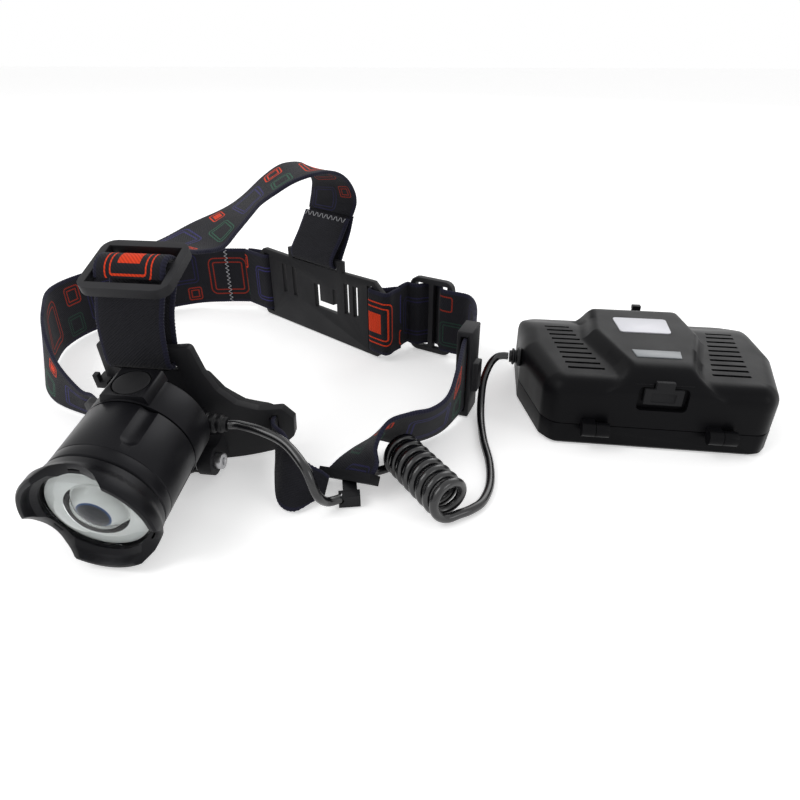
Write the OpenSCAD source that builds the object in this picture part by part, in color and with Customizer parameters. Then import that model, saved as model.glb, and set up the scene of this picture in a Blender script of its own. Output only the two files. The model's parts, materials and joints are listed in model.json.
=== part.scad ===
// Miner's cap lamp: a focusing lamp head on an elastic head harness, with a separate
// battery box on a coiled lead. Millimetres, +Z up, origin at the centre of the box's base.

/* [Lamp head] */
// Radius of the focusing sleeve
sleeve_r = 16.8; // [16.7:0.1:17]
// Radius of the scalloped bezel
bezel_r = 18.5; // [18.2:0.1:18.6]
// Depth of the three scallops in the bezel's rim
scallop_depth = 4.5; // [2:0.5:5]
// Diameter of the rubber push button
button_d = 10.5; // [8:0.5:10.5]

/* [Head harness] */
// Thickness of the webbing
strap_t = 1.4; // [1:0.1:1.6]
// Width of the top strap where it is drawn together at the front
top_w = 21; // [20:0.5:22]
// Height of the rear plate
rear_plate_h = 36; // [36:0.5:37]

/* [Battery box] */
// Height of the lower tray, up to the parting line
tray_h = 8.5; // [8:0.5:9]
// Height of the raised middle ridge
ridge_h = 30.5; // [30:0.5:32]
// Number of cooling grooves on each wing
groove_count = 10; // [6:1:11]
// Diameter of a battery cell
cell_d = 18.4; // [18:0.1:18.5]

/* [Lead] */
// Diameter of the lead
lead_d = 3; // [2.8:0.1:3]
// Number of turns in the coiled stretch
coil_turns = 8; // [6:1:8]
// Radius of the coil, to the lead's middle
coil_r = 5.75; // [5.5:0.05:5.8]

/* [Hidden] */
$fn = 64;
tiny = 0.01;
rear_top_w = 30;      // width of the top strap at the back
strap_w = 30;
black = "#1c1c1f";
webbing = "#26262a";
steel = "#b9bcc0";

// The lamp and the front plate share a frame that leans forward: X to the right, Y back
// along the beam from the rim, Z up from the beam's axis
front_at = [-161.5, -120, 19.3];
front_lean = 10;
bezel_l = 8;          // depth of the bezel
sleeve_end = 29.4;    // rear edge of the sleeve
body_start = 30;      // front face of the housing's rear band
body_end = 43;        // rear face of the housing
spigot_r = 15.33;     // housing's spigot inside the sleeve
bore_r = 15.4;        // sleeve's bore
dome_r = 9.6;         // radius of the board's dome, and the depth of its centre
dome_z = 12.2;
emitter_z = 3.9;      // foot of the emitter, on top of the dome
button_y = 36.5;
tilt_y = 45.7;        // tilt axis
tilt_z = -21;
lug_r = 4.5;
lug_w = 14;
ear_r = 5;
ear_x = 8.3;          // inner face of each ear
ear_t = 4.7;
relief_z = -4.9;      // where the lead leaves the lamp
relief_y = 46.5;
plate_r = 71;         // the front plate is a shell about an upright axis behind it
plate_y = 123;
plate_t = 2.5;
plate_x = -5;         // the shell's axis, to the left of the beam
loop_x = -6.2;        // middle of the top strap's opening
loop_sweep = 0.0073;  // the fold there sweeps to the right by this times its height squared

// Rear plate's place, drawn with its front face on Y = 0
rear_at = [-144.5, 50.5, 0.4];
rear_yaw = -35;
rear_t = 2.5;

// Three-bar buckles: length, width, and where the bars are
buckle_l = 22;
rim = 2.3;            // a buckle's sides, beside its slots
slot_spare = 1;
end_bar = 2.8;
mid_bar = 1.2;
top_buckle_at = [0.2, 55.8, 43.7];
top_buckle_lean = 10;
rear_buckle_at = [-86, 36.5, 18.2];
rear_buckle_yaw = -25;

// Battery box
wall = 2;
lid_y = -38.7;        // lid hinge axis, at the parting line
knuckle_r = 2.6;
knuckle_x = 21.4;     // middle of each hinge
knuckle_l = 4.6;
parting = 0.3;        // gap between the cover and the tray
wing_h = 25.5;
gland_at = [-51.4, -2, 18];
latch_y = 38.6;
latch_z = 4;
port_z = 20.6;        // middle of the charging socket
cell_gap = 18.8;      // from one cell's middle to the next
cell_z = wall + 0.2 + cell_d / 2;
board_z = 22.8;

// ---------------------------------------------------------------- helpers

function cat_rom(a, b, c, d, t) = 0.5 * (2 * b + (c - a) * t
    + (2 * a - 5 * b + 4 * c - d) * t * t + (3 * b - a - 3 * c + d) * t * t * t);
// A smooth curve through the points p, with n steps a span
function smooth(p, n) = concat([for (i = [0:len(p) - 2], j = [0:n - 1])
    cat_rom(p[max(i - 1, 0)], p[i], p[i + 1], p[min(i + 2, len(p) - 1)], j / n)],
    [p[len(p) - 1]]);
function unit(v) = v / norm(v);
function along(p, i) = unit(p[min(i + 1, len(p) - 1)] - p[max(i - 1, 0)]);
function less(v, t) = unit(v - t * (v * t));
// Normals along a curve, each carried on from the one before
function carry(p, v = [0, 0, 1], i = 0) = i >= len(p) ? []
    : let (n = less(v, along(p, i))) concat([n], carry(p, n, i + 1));
function flat(lists) = [for (l = lists, x = l) x];
function raise(p, h) = [for (q = p) q + [0, 0, h]];
function backwards(p) = [for (i = [len(p) - 1:-1:0]) p[i]];

// Skin over rings of the same number of points, with closed ends
module skin(rings) {
    m = len(rings[0]);
    k = len(rings);
    sides = [for (i = [0:k - 2], j = [0:m - 1])
        let (a = i * m + j, b = i * m + (j + 1) % m) [[a, b, b + m], [a, b + m, a + m]]];
    start = [for (j = [1:m - 2]) [0, j + 1, j]];
    end = [for (j = [1:m - 2]) [(k - 1) * m, (k - 1) * m + j, (k - 1) * m + j + 1]];
    polyhedron(flat(rings), concat(flat(sides), start, end), convexity = 10);
}

// Round tube along a curve
module tube(p, d, sides = 8) {
    n = carry(p);
    skin([for (i = [0:len(p) - 1]) let (b = cross(along(p, i), n[i]))
        [for (j = [0:sides - 1]) let (a = -360 * j / sides)
            p[i] + (n[i] * cos(a) + b * sin(a)) * d / 2]]);
}

// Flat webbing between two edges, each a list of points
module ribbon(low_edge, high_edge, steps = 2) {
    low = smooth(low_edge, steps);
    high = smooth(high_edge, steps);
    mid = (low + high) / 2;
    skin([for (i = [0:len(low) - 1])
        let (n = unit(cross(along(mid, i), high[i] - low[i])) * strap_t / 2)
        [low[i] - n, low[i] + n, high[i] + n, high[i] - n]]);
}

// Outline with every corner rounded to a radius
function corner(a, b, c, r, n) = let (u = unit(a - b), v = unit(c - b),
    half = acos(u * v) / 2, o = b + unit(u + v) * r / sin(half),
    s = b + u * r / tan(half) - o, e = b + v * r / tan(half) - o,
    turn = (180 - 2 * half) * sign(cross(s, e)))
    [for (i = [0:n]) let (g = turn * i / n)
        o + [s[0] * cos(g) - s[1] * sin(g), s[0] * sin(g) + s[1] * cos(g)]];
function rounded(p, r, n = 4) = flat([for (i = [0:len(p) - 1])
    corner(p[(i + len(p) - 1) % len(p)], p[i], p[(i + 1) % len(p)], r, n)]);
function both_sides(p) = concat(p, [for (q = backwards(p)) [-q[0], q[1]]]);

module front_frame() translate(front_at) rotate([front_lean, 0, 0]) children();
// Lays a part made about Z along the beam, front to back
module on_axis() front_frame() rotate([-90, 0, 0]) children();
module along_x(x, y, z) translate([x, y, z]) rotate([0, 90, 0]) children();
module rear_frame() translate(rear_at) rotate([0, 0, rear_yaw]) children();
// Extrudes an outline drawn in X and Z towards the back
module wall_y(y, t) translate([0, y + t, 0]) rotate([90, 0, 0]) linear_extrude(t) children();

// ---------------------------------------------------------------- lamp head

module bezel() color(black) on_axis() difference() {
    rotate_extrude($fn = 96) polygon([[16.9, 0], [bezel_r - 0.5, 0], [bezel_r, 0.6],
        [bezel_r, 3.5], [17, bezel_l - 1.5], [17, bezel_l], [16.1, bezel_l],
        [16.1, 4.4], [14.6, 4.4], [14.6, 3.6], [16.2, 2.6]]);
    for (a = [30, 150, 270]) rotate([0, 0, a])
        translate([0, 0, scallop_depth - 11.5]) rotate([0, 90, 0]) cylinder(r = 11.5, h = 30);
}

// Crowned in front, with a round hollow behind that the emitter's dome reaches into
module lens() color("#dfe6ea", 0.5) on_axis() difference() {
    union() {
        translate([0, 0, 5]) cylinder(r = 15.6, h = 1.6);
        intersection() {
            translate([0, 0, 1.2 + 28]) sphere(r = 28, $fn = 96);
            cylinder(r = 14.2, h = 5.5);
        }
    }
    translate([0, 0, dome_z]) sphere(r = dome_r + 0.4, $fn = 96);
}

module lens_seal() color("#3a3a3d") on_axis() translate([0, 0, 4.4]) difference() {
    cylinder(r = 15.6, h = 0.6);
    translate([0, 0, -1]) cylinder(r = 14.6, h = 3);
}

module focus_sleeve() color(black) on_axis() difference() {
    rotate_extrude($fn = 96) polygon([[bore_r, 6.6], [16.1, 6.6], [16.1, bezel_l + 0.6],
        [sleeve_r, bezel_l + 1.1], [sleeve_r, 12.3], [sleeve_r - 0.25, 12.5],
        [sleeve_r, 12.7], [sleeve_r, sleeve_end], [bore_r, sleeve_end]]);
    // Thumb flutes, every quarter turn
    for (a = [28:90:298]) rotate([0, 0, a]) translate([0, -sleeve_r - 4.4, 18]) {
        cylinder(r = 5.2, h = 20);
        sphere(r = 5.2);
    }
}

module lamp_housing() color(black) difference() {
    union() {
        on_axis() rotate_extrude($fn = 96) polygon([[12.5, 17], [spigot_r, 17],
            [spigot_r, 18.6], [14.1, 18.6], [14.1, 20.4], [spigot_r, 20.4],
            [spigot_r, body_start], [sleeve_r, body_start], [sleeve_r, body_end - 1.5],
            [sleeve_r - 1.5, body_end], [0, body_end], [0, body_end - 2.4],
            [12.5, body_end - 2.4]]);
        // Raised seat for the button
        front_frame() wall_y(30.5, 12.3) difference() {
            polygon(rounded([[-7.6, 14], [7.6, 14], [6.5, 18.2], [-6.5, 18.2]], 1, 3));
            circle(r = 12.5);
        }
        // Lug that the tilt screw goes through
        front_frame() along_x(-lug_w / 2, tilt_y, tilt_z) cylinder(r = lug_r, h = lug_w);
        front_frame() translate([-lug_w / 2, 0, 0]) rotate([90, 0, 90]) linear_extrude(lug_w)
            polygon([[33, -14.6], [42.6, -14.6], [tilt_y + 1.5, tilt_z + 4.2],
                [tilt_y, tilt_z - 1], [tilt_y - 4, tilt_z - 2], [33, -16.5]]);
        // Rear boss that the lead comes out of
        front_frame() translate([1, body_end - 0.5, relief_z - 3.6]) cube([11, 6.8, 7.2]);
    }
    front_frame() {
        along_x(-20, tilt_y, tilt_z) cylinder(r = 1.58, h = 40);
        translate([0, button_y, 11]) cylinder(r = button_d / 2 + 0.3, h = 20);
        along_x(6, relief_y, relief_z) cylinder(r = lead_d / 2, h = 20);
    }
}

module focus_o_ring() color("#202022") on_axis() translate([0, 0, 19.5])
    rotate_extrude() translate([14.72, 0]) circle(r = 0.6, $fn = 24);

// Pillar that holds the board up close behind the lens
module led_carrier() color("#b08d57") on_axis() {
    translate([0, 0, 18.5]) cylinder(r = 12.45, h = 4);
    translate([0, 0, 8.7]) cylinder(r = 9, h = 10);
}

// White ceramic, domed in the middle, with a flat on top for the emitter
module led_board() color("#e8e8e4") on_axis() {
    translate([0, 0, 7]) cylinder(r = 13.8, h = 1.7);
    intersection() {
        translate([0, 0, dome_z]) sphere(r = dome_r, $fn = 96);
        translate([0, 0, emitter_z]) cylinder(r = dome_r, h = 4);
    }
}

// One broad chip under a low cover, which carries on the board's dome
module led_emitter() color("#1b2340") on_axis() intersection() {
    translate([0, 0, dome_z]) sphere(r = dome_r, $fn = 96);
    cylinder(r = dome_r, h = emitter_z);
}

module driver_board() color("#1f6b3a") on_axis() {
    translate([0, 0, 25]) cylinder(r = 12.3, h = 1.6);
    for (p = [[-6, 5], [5, 4], [0, -8]]) translate([p[0] - 2, p[1] - 1.5, 26.5])
        cube([4, 3, 1.5]);
}

module switch_module() color("#303236") front_frame() {
    translate([-3, button_y - 3, 11.1]) cube([6, 6, 3.4]);
    translate([0, button_y, 14.4]) cylinder(r = 1.6, h = 0.9);
}

module switch_button() color("#151517") front_frame() translate([0, button_y, 0]) {
    translate([0, 0, 16.4]) cylinder(r = button_d / 2, h = 1.8);
    intersection() {
        translate([0, 0, 18.8 - 25]) sphere(r = 25, $fn = 96);
        translate([0, 0, 18]) cylinder(r = button_d / 2, h = 2);
    }
}

module lamp_strain_relief() color(black) front_frame() along_x(12, relief_y, relief_z)
    rotate_extrude() polygon([[0, 0], [3.3, 0], [3.3, 1.6], [2.6, 1.9], [2.6, 2.6],
        [3.1, 2.9], [3.1, 4.1], [2.5, 4.4], [2.5, 5.1], [2.9, 5.4], [2.9, 6.4],
        [2.3, 6.7], [2.3, 8], [0, 8]]);

module hinge_screw() color(steel) front_frame() along_x(-15.2, tilt_y, tilt_z) {
    cylinder(r = 1.5, h = 15.3 + ear_x + ear_t);
    translate([0, 0, 15.2 + ear_x + ear_t]) difference() {
        cylinder(r = 2.8, h = 2.6);
        translate([0, 0, 1]) cylinder(r = 1.4, h = 3, $fn = 6);
    }
}

module hinge_nut() color(steel) front_frame() along_x(-15.2, tilt_y, tilt_z) difference() {
    cylinder(r = 3.2, h = 2.2, $fn = 6);
    translate([0, 0, -1]) cylinder(r = 1.52, h = 5);
}

module tilt_washers() color(steel) front_frame() for (x = [-ear_x, ear_x - 1])
    along_x(x, tilt_y, tilt_z) difference() {
        cylinder(r = 4, h = 1);
        translate([0, 0, -1]) cylinder(r = 1.6, h = 3);
    }

// ---------------------------------------------------------------- front plate

// Outlines from the foot up: the left wing is the longer one
plate_left = [[-36, -27.7], [-41, -23.7], [-41, -14.7], [-37, -11.2], [-31, -10.2],
    [-25.5, -6.7], [-21, 1.3], [-20, 18.8]];
plate_right = [[29, -28.5], [34.5, -24.5], [35, -17], [32, -11], [25, -9], [19, -5],
    [14.5, 1.5], [12, 9], [10.2, 18.8]];
pad_left = [[-29, -26.5], [-32.5, -23], [-32.5, -14], [-28, -8.5], [-23.5, 0],
    [-21.5, 8.7]];
pad_right = [[27, -27], [30, -23], [30, -15], [26.5, -11.5], [20, -7.5], [14.8, -1.5],
    [11.2, 6]];

// A shell about the plate's upright axis, between two radii
module shell(r1, r2) translate([plate_x, plate_y, -40]) difference() {
    cylinder(r = r2, h = 80, $fn = 180);
    translate([0, 0, -1]) cylinder(r = r1, h = 82, $fn = 180);
}

module front_plate() color(black) front_frame() difference() {
    union() {
        intersection() {
            shell(plate_r - plate_t, plate_r);
            wall_y(50, 25) polygon(rounded(concat(plate_right, backwards(plate_left)), 1.5));
        }
        // Two ears that carry the tilt screw
        for (x = [-ear_x - ear_t, ear_x]) {
            along_x(x, tilt_y, tilt_z) cylinder(r = ear_r, h = ear_t);
            translate([x, tilt_y, tilt_z - 5]) cube([ear_t, 54.4 - tilt_y, 9]);
        }
        // Hook beside the top strap
        translate([plate_x - 18, 50.2, 3.5]) cube([4, 6, 2.2]);
        translate([plate_x - 18, 50.2, 3.5]) cube([1.6, 2, 5]);
    }
    along_x(-20, tilt_y, tilt_z) cylinder(r = 1.6, h = 40);
    // Opening for the top strap, and one in each wing
    translate([loop_x - top_w / 2 - 0.7, 45, 10.3]) cube([top_w + 1.4, 20, 3.5]);
    for (x = [-36.5, 28]) translate([x, 50, -25.2]) cube([2.5, 25, 12]);
}

// Padding behind the plate, below the top strap's fold
module forehead_pad() color("#202024") front_frame() intersection() {
    shell(65.2, 68.2);
    wall_y(50, 30) polygon(rounded(concat(pad_right, backwards(pad_left)), 2));
}

// ---------------------------------------------------------------- side straps

// Lower and upper edges of the band on the left
left_low = [[-190.5, 82, 3.2], [-203, 81, 3], [-222, 78, 2], [-243, 63, 1],
    [-258, 40, 0.6], [-261, 18, 0.6], [-254, -3, 0.6], [-246, -20, 0.6], [-233, -33, 0.6],
    [-216, -40.5, 0.8], [-206, -43.5, 1.6], [-201, -47.2, 2], [-195.5, -50.8, 2.5]];
left_high = [[-190.5, 82, 33.2], [-203, 81, 33], [-222, 78, 32], [-243, 63, 31],
    [-258, 40, 30.6], [-261, 18, 30.6], [-250, -4, 30], [-238, -22, 27], [-226, -35, 20.5],
    [-212.5, -44.5, 14.9], [-205.5, -48.2, 15], [-201, -52, 15.5], [-195.5, -56, 16.8]];
module head_strap_left() color(webbing) ribbon(left_low, left_high);

// Short stretch on the right: bunched in the plate's wing, and spread out to the clip
front_right_low = [[-132.3, -54.7, 6], [-131, -60, 5], [-128, -73, 2], [-123.7, -84, 0.9],
    [-118, -86.8, 0.8], [-113, -82, 1.4], [-110, -80.3, 1.9]];
front_right_high = [[-132.3, -56.5, 16.7], [-131, -62, 17], [-126, -66, 16],
    [-121.5, -71, 13.5], [-115.5, -75, 11], [-111, -76.2, 9.5], [-108.5, -77.4, 8.5]];
module front_right_strap() color(webbing) ribbon(front_right_low, front_right_high, 3);

// Webbing woven over a buckle's middle bar: along the buckle, and out of it
weave = [[-12, -2.6], [-9.5, -2.8], [-6.4, -2.4], [-4.7, 0], [-2.6, 2.3], [0, 3],
    [2.6, 2.3], [4.7, 0], [6.4, -2.4], [9.5, -2.8], [12, -2.6]];
function rear_weave(z) = [for (q = backwards(weave)) [
    rear_buckle_at[0] + q[0] * cos(rear_buckle_yaw) - q[1] * sin(rear_buckle_yaw),
    rear_buckle_at[1] + q[0] * sin(rear_buckle_yaw) + q[1] * cos(rear_buckle_yaw), z]];
// The band is gathered and half turned over where it leaves the clip; its lower edge there is
// the one at the back
right_bend = concat([[-66, 2, 3.2], [-66.5, 16, 3.2], [-69.5, 25.5, 3.2]],
    rear_weave(3.2), [[-100.8, 33.5, 3.2]]);
right_low = concat([[-112, -68.1, 3.3], [-107.8, -64.5, 6.7], [-103, -57.8, 7.2],
    [-98, -51, 6], [-90, -46, 1.5], [-82, -41, 0.9], [-76, -35, 1.2], [-71.8, -28, 2.4],
    [-69.4, -22.5, 3.2], [-67, -12, 3.2]], right_bend);
right_high = concat([[-95.2, -76.7, 8.3], [-93.1, -75.3, 12.8], [-93.5, -75.5, 20],
    [-90.5, -70, 25.5], [-84, -64.5, 26], [-77.5, -60, 25.7], [-72.8, -52, 26.8],
    [-70.6, -37, 30.7], [-69.4, -22.5, 33.2], [-67, -12, 33.2]],
    raise(right_bend, strap_w));
module head_strap_right() color(webbing) ribbon(right_low, right_high);

// ---------------------------------------------------------------- top strap

function on_top_buckle(q) = let (
    y = top_buckle_at[1] + q[0] * cos(top_buckle_lean) - q[1] * sin(top_buckle_lean),
    z = top_buckle_at[2] + q[0] * sin(top_buckle_lean) + q[1] * cos(top_buckle_lean))
    front_at + [top_buckle_at[0], y * cos(front_lean) - z * sin(front_lean),
        y * sin(front_lean) + z * cos(front_lean)];
// The strap turns on its side between the buckle and the back, and widens as it goes
buckle_line = [for (q = weave) if (q[0] > -6) on_top_buckle(q)];
top_far = concat([for (q = buckle_line) q - [top_w / 2, 0, 0]], [[-169.5, -46, 71.5],
    [-164.5, -28, 73.5], [-161, -13.5, 74.2], [-160, -1.5, 74.5], [-158, 8.5, 76.5],
    [-153.3, 18.5, 81.5], [-148.7, 27.5, 84.5], [-143.8, 37, 83.8], [-143, 45, 80],
    [-142.9, 51.5, 75], [-144.5, 56, 70], [-146.6, 60.5, 65], [-148.3, 63.6, 60.4]]);
top_near = concat([for (q = buckle_line) q + [top_w / 2, 0, 0]], [[-150.2, -54.5, 71.8],
    [-147, -45.3, 70.5], [-145.4, -34.5, 73.5], [-144.4, -22.5, 76.5], [-144, -14.5, 78],
    [-141.8, -6.5, 79.5], [-136.3, 2.5, 82.5], [-130.5, 11, 83.8], [-126, 21.5, 83],
    [-122.8, 30.5, 79.4], [-121, 38.4, 73], [-121.3, 43.8, 66.5], [-123.7, 46.4, 60.4]]);
module top_strap() color(webbing) ribbon(top_near, top_far);

// Fold through the front plate's opening, as points in Y and Z
front_fold = [[51, 40.2], [51, 28], [51, 16], [51.4, 12.9], [52.8, 11.8], [54.8, 11.8],
    [56.6, 12.6], [57.3, 16], [58.3, 28], [59.7, 40.2]];
function fold_edge(s) = [for (q = front_fold)
    [loop_x + loop_sweep * (q[1] - 12) ^ 2 + s * top_w / 2, q[0], q[1]]];
module top_front_loop() color(webbing) front_frame() ribbon(fold_edge(1), fold_edge(-1));

// Fold round the rear plate's raised bar, in the rear plate's frame
rear_fold = [[4.2, 6.6, 59], [2.6, 2.6, 50], [0.4, -0.9, 42], [0, -1.2, 38.6],
    [0, -0.2, 37], [0, 1.3, 36.8], [0, 2.8, 37], [0.1, 3.8, 38.6], [0.7, 5.4, 43],
    [2.6, 7.8, 51.5], [4.2, 9.1, 59.6]];
module top_rear_loop() color(webbing) rear_frame() ribbon(
    [for (q = rear_fold) q + [rear_top_w / 2, 0, 0]],
    [for (q = rear_fold) q - [rear_top_w / 2, 0, 0]]);

module rear_plate() color(black) rear_frame() {
    wall_y(0, rear_t) difference() {
        polygon(rounded(both_sides([[42, 0], [46, 6], [46, 31], [40, rear_plate_h],
            [20, rear_plate_h - 0.5]]), 1.5));
        for (x = [-24, -16, 22, 28]) translate([x - 1.6, 15.8]) square([3.2, 15]);
        // Middle window, with its catch tongue
        difference() {
            translate([-1, 14]) square([16, 12]);
            translate([3, 18]) square([9.5, 9]);
        }
        for (s = [-1, 1]) translate([s * 38 - 2, 2.1]) square([4, 31.4]);
    }
    // Raised bar for the top strap
    for (x = [-19.4, 16]) translate([x, 0, rear_plate_h - 2]) cube([3.4, rear_t, 6.5]);
    translate([-19.4, 0, rear_plate_h + 1.8]) cube([38.8, rear_t, 2.7]);
}

// Webbing folded round the bar at each end of the rear plate, sewn where it meets
module end_fold(outer, inner) rear_frame() translate([0, 0, 2.8]) linear_extrude(strap_w)
    difference() {
        polygon(rounded(outer, 0.5, 3));
        polygon(rounded(inner, 0.2, 2));
    }
module rear_loop_left() color(webbing) end_fold(
    [[-37, -1.7], [-55.4, -1.7], [-55.4, 1.6], [-50, 4.3], [-37, 4.3]],
    [[-38.4, -0.3], [-54, -0.3], [-54, 0.7], [-49.7, 2.9], [-38.4, 2.9]]);
module rear_loop_right() color(webbing) end_fold(
    [[37, -1.7], [47.6, -1.7], [49.2, 0.6], [47.8, 10], [45, 10], [41.8, 4.3], [37, 4.3]],
    [[38.4, -0.3], [46.9, -0.3], [47.7, 0.9], [46.6, 8.6], [45.9, 8.6], [42.6, 2.9],
    [38.4, 2.9]]);

// ---------------------------------------------------------------- buckles and clips

// Flat three-bar buckle for webbing of width w, centred, its length along X
module buckle(w, h = 3) linear_extrude(h, center = true) {
    slot_w = w + slot_spare;
    half = slot_w / 2 + rim;
    difference() {
        polygon(rounded([[-buckle_l / 2, -half], [buckle_l / 2, -half],
            [buckle_l / 2, half], [-buckle_l / 2, half]], 4));
        for (x = [mid_bar, end_bar - buckle_l / 2]) translate([x, -slot_w / 2])
            square([buckle_l / 2 - end_bar - mid_bar, slot_w]);
    }
}
module top_buckle() color("#2a2a2e") front_frame() translate(top_buckle_at)
    rotate([top_buckle_lean, 0, 0]) rotate([0, 0, 90]) buckle(top_w);
module rear_buckle() color("#2a2a2e") translate(rear_buckle_at)
    rotate([0, 0, rear_buckle_yaw]) rotate([90, 0, 0]) buckle(strap_w);

module strap_keeper() color(black) translate([-68, -16, 0.3]) rotate([0, 0, 76])
    difference() {
        union() {
            translate([-6, -2.9, 0]) cube([12, 5.8, 35.6]);
            translate([-3, -5.2, 10]) cube([6, 3.4, 12]);
        }
        translate([-7, -1.3, 2.4]) cube([14, 2.6, 31]);
    }

// Clip: a sleeve that takes the gathered end of the right band, over a foot that the lead
// goes into at the front and comes out of at the back
module sleeve_frame() translate([-103.6, -72.4, 5.8]) rotate([-40, -14.7, -26.9]) children();
module lead_clip() color(black) difference() {
    union() {
        sleeve_frame() translate([-10.8, -2.6, -2]) cube([22, 5, 3.2]);
        translate([-101.6, -80, 0.3]) rotate([0, 0, 14]) {
            translate([-3.6, -1.9, 0]) cube([6.8, 3.4, 4.2]);
            translate([-2.2, 1, 0]) cube([4.6, 7.5, 4.6]);
        }
    }
    sleeve_frame() translate([-10.1, -1.5, -0.8]) cube([20.6, 3, 8]);
    // Bores for the lead, in at the front and out at the back
    translate([-107.5, -84.4, 4]) rotate([0, 104, 45]) cylinder(r = lead_d / 2 + 0.2, h = 7.4);
    translate([-103, -72.6, 2]) rotate([0, 90, 100.8]) cylinder(r = lead_d / 2 + 0.2, h = 6);
}

// ---------------------------------------------------------------- battery box

function box_half(g) = [[36 - g, g - 36], [40 - g, g - 31], [47 - g, -4], [47 - g, 26 - g / 2],
    [40 - g, 36 - g]];
module box_plan(g, r) polygon(rounded(both_sides(box_half(g)), r));
function ridge_top(g = 0) = both_sides([[9.5 - g, g - 33.5], [19.5 - g, 2], [17 - g, 25 - g]]);

module cover_solid() {
    hull() {
        translate([0, 0, tray_h + parting]) linear_extrude(10) box_plan(0, 4);
        translate([0, 0, wing_h - 2]) linear_extrude(tiny)
            polygon(rounded(both_sides([[32, -34], [44.5, -4], [44.5, 18], [36, 24]]), 2));
        translate([0, 0, wing_h]) linear_extrude(tiny)
            polygon(rounded(both_sides([[30, -29], [40.5, -5], [40.5, 15], [34, 18]]), 2));
    }
    hull() {
        translate([0, 0, tray_h + parting + 8]) linear_extrude(6)
            polygon(both_sides([[13, -36], [24, 2], [21, 29], [13, 36]]));
        translate([0, 0, ridge_h - 1]) linear_extrude(1) polygon(ridge_top());
    }
}

module cover_inside() {
    hull() {
        translate([0, 0, tray_h - 0.1]) linear_extrude(8) box_plan(wall, 2.5);
        translate([0, 0, wing_h - wall - 0.1]) linear_extrude(tiny)
            polygon(both_sides([[29, -28], [40, -5], [40, 14.5], [33.5, 17]]));
    }
    hull() {
        translate([0, 0, 20]) linear_extrude(1)
            polygon(both_sides([[9, -29], [20, 2], [18, 22]]));
        translate([0, 0, ridge_h - wall - 1]) linear_extrude(1) polygon(ridge_top(2.5));
    }
}

// One knuckle of a lid hinge, with the web that carries it; up is 1 on the cover
module knuckle(x, up) difference() {
    union() {
        along_x(x, lid_y, tray_h) cylinder(r = knuckle_r, h = knuckle_l);
        translate([x, lid_y, tray_h + (up > 0 ? 0.4 : -knuckle_r)])
            cube([knuckle_l, 3.7, knuckle_r - 0.4]);
    }
    along_x(x - 1, lid_y, tray_h) cylinder(r = up > 0 ? 1.05 : 1, h = knuckle_l + 2);
}
// Room that the other half's knuckle turns in
module knuckle_room(x) along_x(x - 0.3, lid_y, tray_h)
    cylinder(r = knuckle_r + 0.35, h = knuckle_l + 0.6);

module box_tray() color(black) {
    difference() {
        hull() {
            linear_extrude(tiny) box_plan(1.2, 4);
            translate([0, 0, 1.2]) linear_extrude(tray_h - 1.2) box_plan(0, 4);
        }
        translate([0, 0, wall]) linear_extrude(20) box_plan(wall, 2.5);
        for (s = [-1, 1]) knuckle_room(s * knuckle_x - knuckle_l - 0.1);
    }
    for (s = [-1, 1]) knuckle(s * knuckle_x + 0.1, -1);
    // Contact walls, and low fences between the cells
    for (x = [-36.8, 35.6]) translate([x, -27.5, wall - 0.1]) cube([1.6, 55, 13]);
    for (s = [-1, 1]) translate([-20, s * cell_gap / 2 - 0.5, wall - 0.1]) cube([40, 1, 2]);
    // Cheeks for the latch's pin
    for (x = [-8.6, 6.6]) difference() {
        translate([x, 35.5, latch_z - 2.4]) cube([2, 5.4, 4.8]);
        along_x(x - 1, latch_y, latch_z) cylinder(r = 1, h = 4);
    }
}

// Middles of the posts that the circuit board hangs from
posts = [for (x = [-9, 9], y = [-12, 14]) [x, y, 0]];

module box_cover() color(black) {
    difference() {
        cover_solid();
        cover_inside();
        // Step for the label, and the window's opening
        translate([0, 0, ridge_h - 0.6]) linear_extrude(2)
            polygon(rounded([[-9.7, -0.2], [9.7, -0.2], [10.7, 14.6], [-10.7, 14.6]], 1.5));
        translate([0, 0, ridge_h - 4]) linear_extrude(8)
            polygon([[-7.8, -22.4], [7.8, -22.4], [8.6, -16.4], [-8.6, -16.4]]);
        // Charging port, and the recess that its cover lies in
        translate([-8.5, -37, 16]) cube([17, 3.3, 8.6]);
        translate([-3.6, -37, 24.5]) cube([7.2, 3.3, 3.4]);
        translate([-4.8, -37, port_z - 1.9]) cube([9.6, 12, 3.8]);
        // Cooling grooves
        for (s = [-1, 1], i = [0:groove_count - 1])
            let (t = i / (groove_count - 1), x = 18.5 + 8.5 * t, w = 13 - 3 * t)
            translate([s > 0 ? x : -x - w, 38 * t - 25, wing_h - 0.8]) cube([w, 1.5, 3]);
        for (s = [-1, 1]) knuckle_room(s * knuckle_x + 0.1);
        along_x(-60, gland_at[1], gland_at[2]) cylinder(r = lead_d / 2 + 0.1, h = 20);
    }
    for (s = [-1, 1]) knuckle(s * knuckle_x - knuckle_l - 0.1, 1);
    // Wall behind the port
    difference() {
        translate([-9.8, -33.7, 15]) cube([19.6, 1.6, 10.5]);
        translate([-4.8, -37, port_z - 1.9]) cube([9.6, 12, 3.8]);
    }
    for (p = posts) translate(p) difference() {
        translate([0, 0, board_z + 1.6]) cylinder(r = 2.2, h = 4.2);
        translate([0, 0, board_z]) cylinder(r = 1, h = 4.6);
    }
}

module hinge_pins() color(steel) for (s = [-1, 1])
    along_x(s * knuckle_x - knuckle_l + 0.1, lid_y, tray_h)
        cylinder(r = 1, h = 2 * knuckle_l - 0.2);

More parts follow.
